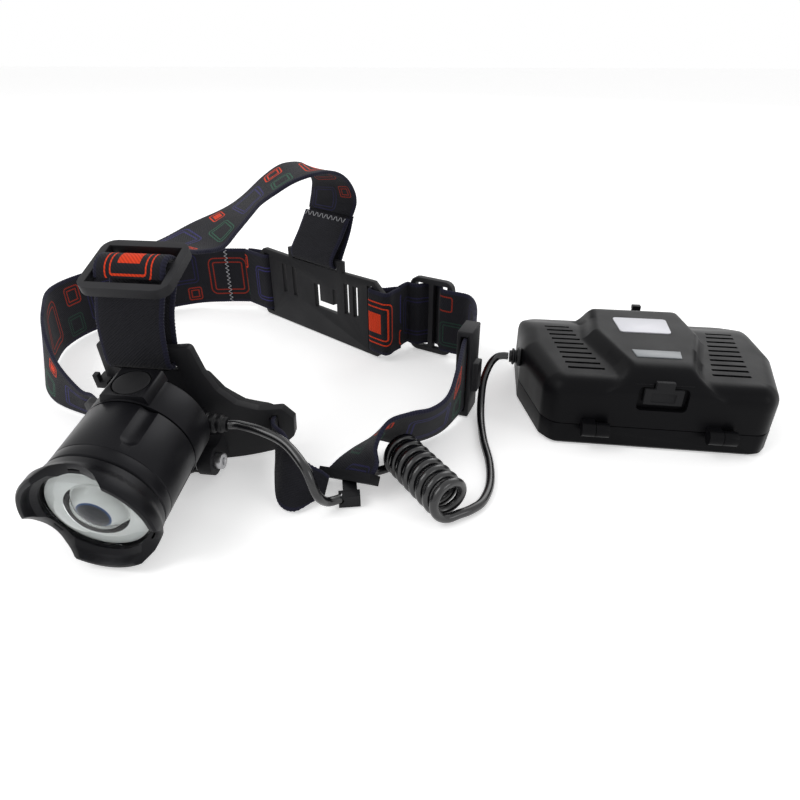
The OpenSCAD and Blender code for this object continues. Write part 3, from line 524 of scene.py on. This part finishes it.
weave_line = [[-12, -2.6], [-9.5, -2.8], [-6.4, -2.4], [-4.7, 0], [-2.6, 2.3], [0, 3],
              [2.6, 2.3], [4.7, 0], [6.4, -2.4], [9.5, -2.8], [12, -2.6]]
rear_buckle_at = (-86, 36.5)
rear_buckle_yaw = math.radians(-25)


def rear_weave(z):
    """The band's path over the rear buckle's middle bar, at one height."""
    c, s = math.cos(rear_buckle_yaw), math.sin(rear_buckle_yaw)
    return [[rear_buckle_at[0] + a * c - b * s, rear_buckle_at[1] + a * s + b * c, z]
            for a, b in reversed(weave_line)]


right_bend = [[-66, 2, 3.2], [-66.5, 16, 3.2], [-69.5, 25.5, 3.2], *rear_weave(3.2),
              [-100.8, 33.5, 3.2]]
right_low = [[-112, -68.1, 3.3], [-107.8, -64.5, 6.7], [-103, -57.8, 7.2], [-98, -51, 6],
             [-90, -46, 1.5], [-82, -41, 0.9], [-76, -35, 1.2], [-71.8, -28, 2.4],
             [-69.4, -22.5, 3.2], [-67, -12, 3.2], *right_bend]
right_high = [[-95.2, -76.7, 8.3], [-93.1, -75.3, 12.8], [-93.5, -75.5, 20], [-90.5, -70, 25.5],
              [-84, -64.5, 26], [-77.5, -60, 25.7], [-72.8, -52, 26.8], [-70.6, -37, 30.7],
              [-69.4, -22.5, 33.2], [-67, -12, 33.2],
              *[[x, y, z + band_w] for x, y, z in right_bend]]
band("band_right", right_low, right_high, printed_webbing, "printed_webbing", "head_strap_right",
     start=40.0)

top_buckle_at = (0.2, 55.8, 43.7)
top_buckle_lean = math.radians(10)
top_w = 21.0          # the top strap is drawn together at the front, and full width behind


def in_lamp_frame(x, y, z):
    """A point of the front plate's frame, in millimetres, as a point of the whole."""
    return np.array(lamp_frame @ (Vector((x, y, z)) * MM)) / MM


def on_top_buckle(a, b, side):
    """A point along and out of the top buckle, on one edge of the strap."""
    c, s = math.cos(top_buckle_lean), math.sin(top_buckle_lean)
    return in_lamp_frame(top_buckle_at[0] + side * top_w / 2, top_buckle_at[1] + a * c - b * s,
                         top_buckle_at[2] + a * s + b * c)


buckle_line = [(a, b) for a, b in weave_line if a > -6]
top_far = [*(on_top_buckle(a, b, -1) for a, b in buckle_line), (-169.5, -46, 71.5),
           (-164.5, -28, 73.5), (-161, -13.5, 74.2), (-160, -1.5, 74.5), (-158, 8.5, 76.5),
           (-153.3, 18.5, 81.5), (-148.7, 27.5, 84.5), (-143.8, 37, 83.8), (-143, 45, 80),
           (-142.9, 51.5, 75), (-144.5, 56, 70), (-146.6, 60.5, 65), (-148.3, 63.6, 60.4)]
top_near = [*(on_top_buckle(a, b, 1) for a, b in buckle_line), (-150.2, -54.5, 71.8),
            (-147, -45.3, 70.5), (-145.4, -34.5, 73.5), (-144.4, -22.5, 76.5), (-144, -14.5, 78),
            (-141.8, -6.5, 79.5), (-136.3, 2.5, 82.5), (-130.5, 11, 83.8), (-126, 21.5, 83),
            (-122.8, 30.5, 79.4), (-121, 38.4, 73), (-121.3, 43.8, 66.5), (-123.7, 46.4, 60.4)]
band("band_top", top_near, top_far, printed_webbing, "printed_webbing", "top_strap", start=2.0)

front_fold = [(51, 40.2), (51, 28), (51, 16), (51.4, 12.9), (52.8, 11.8), (54.8, 11.8),
              (56.6, 12.6), (57.3, 16), (58.3, 28), (59.7, 40.2)]
loop_x = -6.2
loop_sweep = 0.0073   # how the fold curves aside as it rises
band("front_loop", *([in_lamp_frame(loop_x + loop_sweep * (z - 12) ** 2 + s * top_w / 2, y, z)
                      for y, z in front_fold] for s in (1, -1)),
     plain_webbing, "plain_webbing", "top_front_loop")

rear_frame = (Matrix.Translation(Vector((-144.5, 50.5, 0.4)) * MM)
              @ Matrix.Rotation(math.radians(-35), 4, "Z"))


def in_rear_frame(x, y, z):
    """A point of the rear plate's frame, in millimetres, as a point of the whole."""
    return np.array(rear_frame @ (Vector((x, y, z)) * MM)) / MM


rear_fold = [[4.2, 6.6, 59], [2.6, 2.6, 50], [0.4, -0.9, 42], [0, -1.2, 38.6], [0, -0.2, 37],
             [0, 1.3, 36.8], [0, 2.8, 37], [0.1, 3.8, 38.6], [0.7, 5.4, 43], [2.6, 7.8, 51.5],
             [4.2, 9.1, 59.6]]
band("rear_loop", *([in_rear_frame(x + s * band_w / 2, y, z) for x, y, z in rear_fold]
                    for s in (1, -1)),
     plain_webbing, "plain_webbing", "top_rear_loop")

left_fold = [(-55.2, -1.0), (-48, -1.0), (-40, -1.0), (-37.8, -0.2), (-37.6, 1.3), (-38, 3),
             (-40, 3.6), (-47, 3.6), (-52, 2.4), (-55, 1.0)]
right_fold = [(46, 9.8), (44.6, 8), (42.6, 4.4), (40, 3.6), (38, 3), (37.6, 1.3), (38, -0.5),
              (40, -1), (45, -1), (47.6, -0.8), (48.5, 0.9), (47.6, 5), (47.2, 9.6)]
side_foot = 2.8       # height of the side folds' lower edge
for name, fold, node, start in (("left_loop", left_fold, "rear_loop_left", 60.0),
                                ("right_loop", right_fold, "rear_loop_right", 103.0)):
    band(name, *([in_rear_frame(x, y, z) for x, y in fold]
                 for z in (side_foot, side_foot + band_w)),
         printed_webbing, "printed_webbing", node, start=start)

# ---------------------------------------------------------------- stitches
# Grey zigzag thread closes the folds at the rear plate: one row across the top strap, and one
# across the left band.


def stitch_row(name, first, last, facing, count, look):
    """A zigzag row between two points, on a surface that faces one way."""
    first, last, facing = (Vector(v) for v in (first, last, facing))
    ahead = (last - first).normalized()
    side = facing.cross(ahead).normalized()
    leans = [(ahead * 0.5 + side * s * 0.87).to_track_quat("Z", "Y").to_euler() for s in (1, -1)]
    group = bpy.data.node_groups.new(name, "GeometryNodeTree")
    group.interface.new_socket("Geometry", in_out="INPUT", socket_type="NodeSocketGeometry")
    for key, kind, value in (("Count", "NodeSocketInt", count),
                             ("Thread radius", "NodeSocketFloat", 0.17 * MM),
                             ("Stitch length", "NodeSocketFloat", 2.1 * MM)):
        socket = group.interface.new_socket(key, in_out="INPUT", socket_type=kind)
        socket.default_value = value
    group.interface.new_socket("Geometry", in_out="OUTPUT", socket_type="NodeSocketGeometry")
    given = group.nodes.new("NodeGroupInput")
    points = add(group, "GeometryNodeMeshLine", {
        "Count": given.outputs["Count"], "Start Location": first * MM,
        "Offset": (last - first) / (count - 1) * MM}, mode="OFFSET")
    thread = add(group, "GeometryNodeMeshCylinder", {
        "Vertices": 8, "Radius": given.outputs["Thread radius"],
        "Depth": given.outputs["Stitch length"]})
    odd = calc(group, "MODULO", add(group, "GeometryNodeInputIndex"), 2.0)
    lean = add(group, "ShaderNodeMix", {0: odd, 4: tuple(leans[0]), 5: tuple(leans[1])},
               data_type="VECTOR")
    row = add(group, "GeometryNodeInstanceOnPoints", {
        "Points": points, "Instance": thread.outputs["Mesh"], "Rotation": lean.outputs[1]})
    solid = add(group, "GeometryNodeRealizeInstances", {0: row})
    dressed = add(group, "GeometryNodeSetMaterial", {"Geometry": solid, "Material": look})
    add(group, "NodeGroupOutput", {0: dressed})
    piece = make_piece(name, [(0, 0, 0), (0.1, 0, 0), (0, 0.1, 0)], [[0, 1, 2]], look)
    maker = piece.modifiers.new("row", "NODES")
    maker.node_group = group
    made = piece.evaluated_get(bpy.context.evaluated_depsgraph_get())
    mesh = bpy.data.meshes.new_from_object(made)
    piece.modifiers.clear()
    piece.data = mesh
    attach(piece, "harness")


grey_thread = finish("grey_polyester_thread", ("#8d8d92", "#b4b4b8"), (0.55, 0.7), 0.4, 0.02)
stitch_row("top_seam_stitches", in_rear_frame(-9, 5.3, 58.1), in_rear_frame(17, 5.3, 58.1),
           rear_frame.to_3x3() @ Vector((0, -0.91, 0.41)), 17, grey_thread)
stitch_row("left_seam_stitches", (-201.5, 80.3, 4.2), (-201.5, 80.3, 31.8), (0.05, -1, 0), 26,
           grey_thread)

# ---------------------------------------------------------------- front plate and pad
# The plate is moulded nylon with a spark-eroded matt surface. Behind it is a pad of thin foam
# under leather cloth.
nylon = finish("moulded_matt_nylon", ("#141416", "#1c1c1f"), (0.48, 0.6), 0.45, 0.02,
               Specular_IOR_Level=0.2)
eased_copy("front_plate", nylon, "black_nylon", 0.35)
leather = finish("grained_leather_cloth", ("#111113", "#1a1a1d"), (0.5, 0.65), 1.1, 0.12,
                 Specular_IOR_Level=0.2)
pad = eased_copy("forehead_pad", leather, "pad_leatherette", 0.8)
pad.name = "brow_pad"

# ---------------------------------------------------------------- rear plate, buckles, clips
# These are small nylon and acetal mouldings, a little smoother than the front plate.
eased_copy("rear_plate", nylon, "black_nylon", 0.35)
acetal = finish("moulded_acetal", ("#17171a", "#202023"), (0.5, 0.62), 0.6, 0.012,
                Specular_IOR_Level=0.25)
for buckle in ("top_buckle", "rear_buckle"):
    eased_copy(buckle, acetal, "buckle_plastic", 0.95, segments=4)
for clip in ("strap_keeper", "lead_clip"):
    eased_copy(clip, nylon, "black_nylon", 0.5)

# ---------------------------------------------------------------- screws, rubber, strain reliefs
stainless = finish("brushed_stainless", ("#a9a9ab", "#c4c4c6"), (0.22, 0.36), 0.25, 0.004,
                   Metallic=1.0)
rubber = finish("moulded_matt_rubber", ("#0f0f11", "#19191b"), (0.6, 0.75), 0.4, 0.03,
                Specular_IOR_Level=0.2)
for fastener in ("hinge_screw", "hinge_nut"):
    eased_copy(fastener, stainless, "stainless", 0.15)
for moulding in ("switch_button", "port_cover"):
    eased_copy(moulding, rubber, "black_rubber", 0.25)
soft_pvc = finish("moulded_soft_pvc", ("#0e0e10", "#161618"), (0.35, 0.5), 0.6, 0.02,
                  Specular_IOR_Level=0.25)
eased_copy("lamp_strain_relief", soft_pvc, "flex_black", 0.15)
eased_copy("box_strain_relief", soft_pvc, "flex_black", 0.2)

# ---------------------------------------------------------------- battery box cover
# The cover is moulded ABS with a satin polish: two low wings with cooling grooves, and a
# raised middle that runs into them through hollow fillets. The grooves, the step for the label,
# the holes and the port's recess are cut into it, and the hinge knuckles are joined to it.
abs_plastic = finish("satin_black_abs", ("#0b0b0d", "#101012"), (0.36, 0.46), 0.35, 0.006,
                     Specular_IOR_Level=0.07)


def rounded(corners, radius, steps=6):
    """An outline whose corners are arcs of one radius."""
    out = []
    for i, b in enumerate(corners):
        a, c = corners[i - 1], corners[(i + 1) % len(corners)]
        u, w = ((np.array(q, float) - b) / np.linalg.norm(np.array(q, float) - b) for q in (a, c))
        half = math.acos(np.clip(u @ w, -1, 1)) / 2
        centre = b + (u + w) / np.linalg.norm(u + w) * radius / math.sin(half)
        first = b + u * radius / math.tan(half) - centre
        last = b + w * radius / math.tan(half) - centre
        sweep = (math.pi - 2 * half) * np.sign(first[0] * last[1] - first[1] * last[0])
        out += [centre + [first[0] * math.cos(g) - first[1] * math.sin(g),
                          first[0] * math.sin(g) + first[1] * math.cos(g)]
                for g in np.linspace(0, sweep, steps + 1)]
    return np.array(out)


def spaced(outline, count):
    """The same closed outline with evenly spaced points."""
    closed = np.vstack([outline, outline[:1]])
    reach = np.append(0, np.cumsum(np.linalg.norm(np.diff(closed, axis=0), axis=1)))
    at = np.linspace(0, reach[-1], count, endpoint=False)
    return np.stack([np.interp(at, reach, closed[:, k]) for k in range(2)], 1)


def inset(outline, depth):
    """The outline moved inwards."""
    ahead = np.roll(outline, -1, 0) - np.roll(outline, 1, 0)
    ahead /= np.linalg.norm(ahead, axis=1)[:, None]
    return outline + depth * np.stack([-ahead[:, 1], ahead[:, 0]], 1)


def soft_min(a, b, reach):
    """The lower of two heights, rounded over where they cross."""
    h = np.clip(0.5 + 0.5 * (b - a) / reach, 0, 1)
    return b * (1 - h) + a * h - reach * h * (1 - h)


tray_h, parting, wall = 8.5, 0.3, 2.0
rim_z = tray_h + parting
wing_h, ridge_h, edge_r = 25.5, 30.5, 6.5
wall_top = 18.8
half_plan = [(36, -36), (40, -31), (47, -4), (47, 26), (40, 36)]
plan = spaced(rounded(half_plan + [(-x, y) for x, y in half_plan[::-1]], 6.8), 288)


def cover_height(xy, depth):
    """Height of the cover's skin over a point that is so deep inside its outline."""
    x, y = np.abs(xy[:, 0]), xy[:, 1]
    shoulder = wall_top + (wing_h - wall_top) * np.sqrt(1 - (1 - min(depth, edge_r) / edge_r) ** 2)
    rear_slope = wing_h - (y - 16) * (wing_h - wall_top) / 22
    wing = soft_min(np.full(len(x), shoulder), rear_slope, 2.0)
    foot = np.interp(y, [-36, -30, -22, 2, 29, 36], [17.5, 14.6, 15.6, 23.5, 21, 15])
    crest = np.interp(y, [-36, -28, 2, 25, 36], [9.5, 10.5, 19.2, 17, 12])
    side = 22.8 + (ridge_h - 22.8) * (foot - x) / (foot - crest)
    front = ridge_h - 1.2 * np.clip(-24 - y, 0, None) ** 2 / 24
    front = soft_min(front, 22.8 + (y + 36) * 4.0, 4.0)
    rear = ridge_h - (y - 25) * 0.7
    ridge = soft_min(np.full(len(x), ridge_h), side, 3.0)
    ridge = soft_min(soft_min(ridge, front, 1.5), rear, 2.5)
    return -soft_min(-wing, -ridge, 3.2)


def cover_rings(depth_from, drop):
    """Rings of points from the rim up the wall and over to the middle."""
    edge = inset(plan, depth_from)
    top = cover_height(edge, 0.0) - drop
    rings = [np.column_stack([edge, rim_z + (top - rim_z) * t]) for t in (0, 0.03, 0.5, 0.85, 1)]
    for depth in edge_r * (1 - np.cos(np.linspace(0.25, math.pi / 2, 8))):
        ring = inset(plan, max(depth, depth_from + 0.02 * depth))
        rings.append(np.column_stack([ring, cover_height(ring, depth) - drop]))
    deep = inset(plan, edge_r)
    for share in np.linspace(0.975, 0.01, 44):
        rings.append(np.column_stack([deep * share, cover_height(deep * share, edge_r) - drop]))
    return rings


skin = cover_rings(0.0, 0.0)
lining = cover_rings(wall, wall)
shell_rings = skin[::-1] + lining
cover = make_piece("lid_shell", np.vstack(shell_rings), ring_faces(len(shell_rings), len(plan)),
                   abs_plastic)


def block(low, high):
    """A box as points and faces."""
    points = [(x, y, z) for x in (low[0], high[0]) for y in (low[1], high[1])
              for z in (low[2], high[2])]
    faces = [[0, 1, 3, 2], [4, 6, 7, 5], [0, 4, 5, 1], [2, 3, 7, 6], [0, 2, 6, 4], [1, 5, 7, 3]]
    return points, faces


def prism(outline, low, high):
    """An outline extruded from one height to another."""
    n = len(outline)
    points = [(*p, z) for z in (low, high) for p in outline]
    faces = [list(range(n)), list(range(n, 2 * n))]
    return points, faces + [[i, (i + 1) % n, n + (i + 1) % n, n + i] for i in range(n)]


def cylinder_x(x, y, z, radius, length, around=40):
    """A cylinder along X."""
    angle = np.arange(around) * 2 * math.pi / around
    ring = [(y + radius * math.cos(a), z + radius * math.sin(a)) for a in angle]
    points = [(px, py, pz) for px in (x, x + length) for py, pz in ring]
    return points, prism(ring, 0, 1)[1]


def carve(piece, shapes, operation="DIFFERENCE"):
    """Cuts shapes out of a piece, or joins them to it, one after another."""
    for number, (points, faces) in enumerate(shapes):
        cutter = make_piece(f"cutter_{number}", points, faces, piece.data.materials[0])
        cut = piece.modifiers.new("cut", "BOOLEAN")
        cut.operation = operation
        cut.solver = "EXACT"
        cut.object = cutter
        dg = bpy.context.evaluated_depsgraph_get()
        mesh = bpy.data.meshes.new_from_object(piece.evaluated_get(dg))
        piece.modifiers.clear()
        piece.data = mesh
        bpy.data.objects.remove(cutter)


groove_count = 10
grooves = []
for side in (-1, 1):
    for i in range(groove_count):
        t = i / (groove_count - 1)
        near, width = 18.5 + 8.5 * t, 13 - 3 * t
        y = 38 * t - 25
        low_x, high_x = sorted((side * near, side * (near + width)))
        grooves.append(block((low_x, y, wing_h - 0.8), (high_x, y + 1.5, wing_h + 3)))


def joined(shapes):
    """Several separate shapes as one set of points and faces."""
    points, faces = [], []
    for p, f in shapes:
        faces += [[i + len(points) for i in face] for face in f]
        points += list(p)
    return points, faces


lid_y = -38.7
knuckle_r, knuckle_x, knuckle_l = 2.6, 21.4, 4.6
label_step = rounded([(-9.7, -0.2), (9.7, -0.2), (10.7, 14.6), (-10.7, 14.6)], 1.9)
window_hole = [(-7.8, -22.4), (7.8, -22.4), (8.6, -16.4), (-8.6, -16.4)]
port_z = 20.6
port_outline = rounded([(-8.5, 16), (8.5, 16), (8.5, 24.6), (-8.5, 24.6)], 1.6)
port_recess = ([(x, y, z) for y in (-38, -33.7) for x, z in port_outline],
               prism(port_outline, 0, 1)[1])
carve(cover, [block((-9.8, -34.5, 15), (9.8, -32.1, 25.5))], "UNION")
cuts = [joined(grooves), prism(label_step, ridge_h - 0.6, ridge_h + 2),
        prism(window_hole, ridge_h - 5, ridge_h + 2), port_recess,
        block((-3.6, -38, 24), (3.6, -33.8, 27.9)),
        block((-4.8, -38, port_z - 1.9), (4.8, -25, port_z + 1.9)),
        joined([cylinder_x(s * knuckle_x - 0.2, lid_y, tray_h, knuckle_r + 0.35, knuckle_l + 0.6)
                for s in (-1, 1)]),
        cylinder_x(-60, -2, 18, lead_d / 2 + 0.1, 20)]
carve(cover, cuts)
knuckles = []
for s in (-1, 1):
    x = s * knuckle_x - knuckle_l - 0.1
    knuckles.append(cylinder_x(x, lid_y, tray_h, knuckle_r, knuckle_l))
    knuckles.append(block((x, lid_y, tray_h + 0.4),
                          (x + knuckle_l, lid_y + 3.7, tray_h + knuckle_r)))
carve(cover, knuckles, "UNION")
cover.data.shade_smooth()
cover.data.set_sharp_from_angle(angle=math.radians(32))
fit(cover, "box_abs", "box_cover")

# ---------------------------------------------------------------- tray, latch, label, window
eased_copy("box_tray", abs_plastic, "box_abs", 0.4)
eased_copy("latch_lever", abs_plastic, "box_abs", 0.35)
label = finish("bare_silver_label", ("#ccccd4", "#dcdce2"), (0.3, 0.42), 0.5, 0.002)
eased_copy("label_plate", label, "label_silver", 0.12)
smoked = finish("smoked_translucent_pc", ("#6e7276", "#85898d"), (0.3, 0.4), 1.5, 0.004, 6.0)
eased_copy("indicator_window", smoked, "smoke_window", 0.12)

# ---------------------------------------------------------------- works inside
# What is inside the lamp and the box: LED carrier, boards, cells, contacts, springs and pins.
bright = finish("bright_turned_bore", ("#c9cbce", "#eeeff0"), (0.15, 0.25), 0.8, 0.004,
                Metallic=0.6)
ceramic = finish("white_ceramic_board", ("#c9cac6", "#e4e4e0"), (0.3, 0.4), 0.5, 0.004)
chip = finish("dark_blue_emitter", ("#08090f", "#0f1322"), (0.45, 0.6), 0.6, 0.002,
              Specular_IOR_Level=0.15)
# A blue rim round the emitter, where its edge catches the light
tree = chip.node_tree
about_axis = add(tree, "ShaderNodeMapping", {
    "Vector": tree.nodes["Texture Coordinate"].outputs["Object"], "Location": front_at,
    "Rotation": (front_lean, 0.0, 0.0)}, vector_type="TEXTURE")
flat = add(tree, "ShaderNodeVectorMath", {0: about_axis, 1: (1.0, 0.0, 1.0)}, operation="MULTIPLY")
from_axis = add(tree, "ShaderNodeVectorMath", {0: flat}, operation="LENGTH").outputs["Value"]
at_rim = add(tree, "ShaderNodeMapRange", {0: from_axis, 1: 4.2 * MM, 2: 4.6 * MM})
rimmed = add(tree, "ShaderNodeMix", {0: at_rim, 6: tree.nodes["Mix"].outputs[2],
                                     7: linear("#2a4a78")}, data_type="RGBA")
tree.links.new(rimmed.outputs[2], tree.nodes["Principled BSDF"].inputs["Base Color"])
board = finish("green_solder_mask", ("#0d3a1c", "#1a5a30"), (0.25, 0.4), 0.8, 0.01)
case = finish("moulded_component", ("#17181a", "#26282b"), (0.4, 0.5), 0.5, 0.01)
sleeve = finish("blue_shrink_sleeve", ("#174a86", "#2668ab"), (0.3, 0.4), 2.0, 0.01)
nickel = finish("nickel_plated_strip", ("#a8a59c", "#c5c1b6"), (0.2, 0.35), 0.4, 0.004,
                Metallic=1.0)
red = finish("red_indicator_resin", ("#7a1512", "#a8241c"), (0.15, 0.25), 0.5, 0.002)
for look, nodes in ((bright, "led_carrier"), (ceramic, "led_board"), (chip, "led_emitter"),
                    (board, "driver_board circuit_board"), (case, "switch_module"),
                    (stainless, "tilt_washers hinge_pins latch_pin charging_socket board_screws"),
                    (sleeve, "battery_cells"), (nickel, "contact_plates"),
                    (red, "indicator_lamps"),
                    (rubber, "lens_seal focus_o_ring")):
    for node in nodes.split():
        part = frame["nodes"][node]
        part.data.materials.clear()
        part.data.materials.append(look)

cell_gap, cell_z = 18.8, 11.4
spring_turns, spring_r, spring_from, spring_reach = 5, 3.0, 31.5, 3.9
springs = []
turn = np.linspace(0, spring_turns, 101)[:, None]
for row in (-1, 0, 1):
    coil = (np.array([spring_from, row * cell_gap, cell_z])
            + turn / spring_turns * np.array([spring_reach, 0, 0])
            + spring_r * (np.cos(2 * math.pi * turn) * np.array([0, 1, 0])
                          + np.sin(2 * math.pi * turn) * np.array([0, 0, 1])))
    spring = tube(f"cell_spring_{row + 1}", coil, 0.35, stainless, 8)
    springs.append(spring)
fit(springs[0], "stainless", "contact_springs")
for spring in springs[1:]:
    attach(spring, "harness")

# ---------------------------------------------------------------- stage
# A pale floor and soft studio light. The backdrop is white to the camera, in reflections and
# through glass, and lights the object at a lower, plain level.
floor_glow = 0.4      # seen on the floor only by the rays that show the background
room_light = 0.55     # the world's level for every other ray


def seen_rays(tree):
    """1 for the rays that show the background: to the camera, in gloss and through glass."""
    rays = add(tree, "ShaderNodeLightPath").outputs
    seen = calc(tree, "MAXIMUM", rays["Is Camera Ray"], rays["Is Glossy Ray"])
    return calc(tree, "MAXIMUM", seen, rays["Is Transmission Ray"])


paper = bpy.data.materials.new("pale_paper")
paper.use_nodes = True
tree = paper.node_tree
shader = tree.nodes["Principled BSDF"]
shader.inputs["Base Color"].default_value = (0.96, 0.96, 0.96, 1)
shader.inputs["Roughness"].default_value = 0.9
shader.inputs["Emission Color"].default_value = (1, 1, 1, 1)
glow = calc(tree, "MULTIPLY", seen_rays(tree), floor_glow)
tree.links.new(glow.outputs[0], shader.inputs["Emission Strength"])
floor_mesh = bpy.data.meshes.new("floor")
floor_half = 6.0
floor_z = -0.0002     # just under the object, so that the two faces don't meet
floor_mesh.from_pydata([(x * floor_half, y * floor_half, floor_z)
                        for x, y in ((-1, -1), (1, -1), (1, 1), (-1, 1))], [], [[0, 1, 2, 3]])
floor_mesh.materials.append(paper)
floor = bpy.data.objects.new("floor", floor_mesh)
bpy.context.collection.objects.link(floor)


def softbox(name, place, aim, size, power):
    """A square area lamp that points at a spot."""
    data = bpy.data.lights.new(name, "AREA")
    data.size = size
    data.energy = power
    lamp = bpy.data.objects.new(name, data)
    lamp.location = place
    lamp.rotation_euler = (Vector(place) - Vector(aim)).to_track_quat("Z", "Y").to_euler()
    bpy.context.collection.objects.link(lamp)


aim_at = (-0.1, 0.0, 0.02)
softbox("key_light", (-0.9, -0.5, 1.1), aim_at, 0.8, 6.5)
softbox("rear_light", (0.5, 1.1, 0.9), aim_at, 0.9, 5.5)
softbox("side_light", (1.0, -0.7, 0.6), aim_at, 0.5, 2.2)
world = bpy.data.worlds.new("studio")
world.use_nodes = True
bpy.context.scene.world = world
tree = world.node_tree
level = add(tree, "ShaderNodeMapRange", {0: seen_rays(tree), 3: room_light, 4: 1.0})
tree.links.new(level.outputs[0], tree.nodes["Background"].inputs["Strength"])
tree.nodes["Background"].inputs["Color"].default_value = (1, 1, 1, 1)
bpy.context.scene.view_settings.view_transform = "Standard"
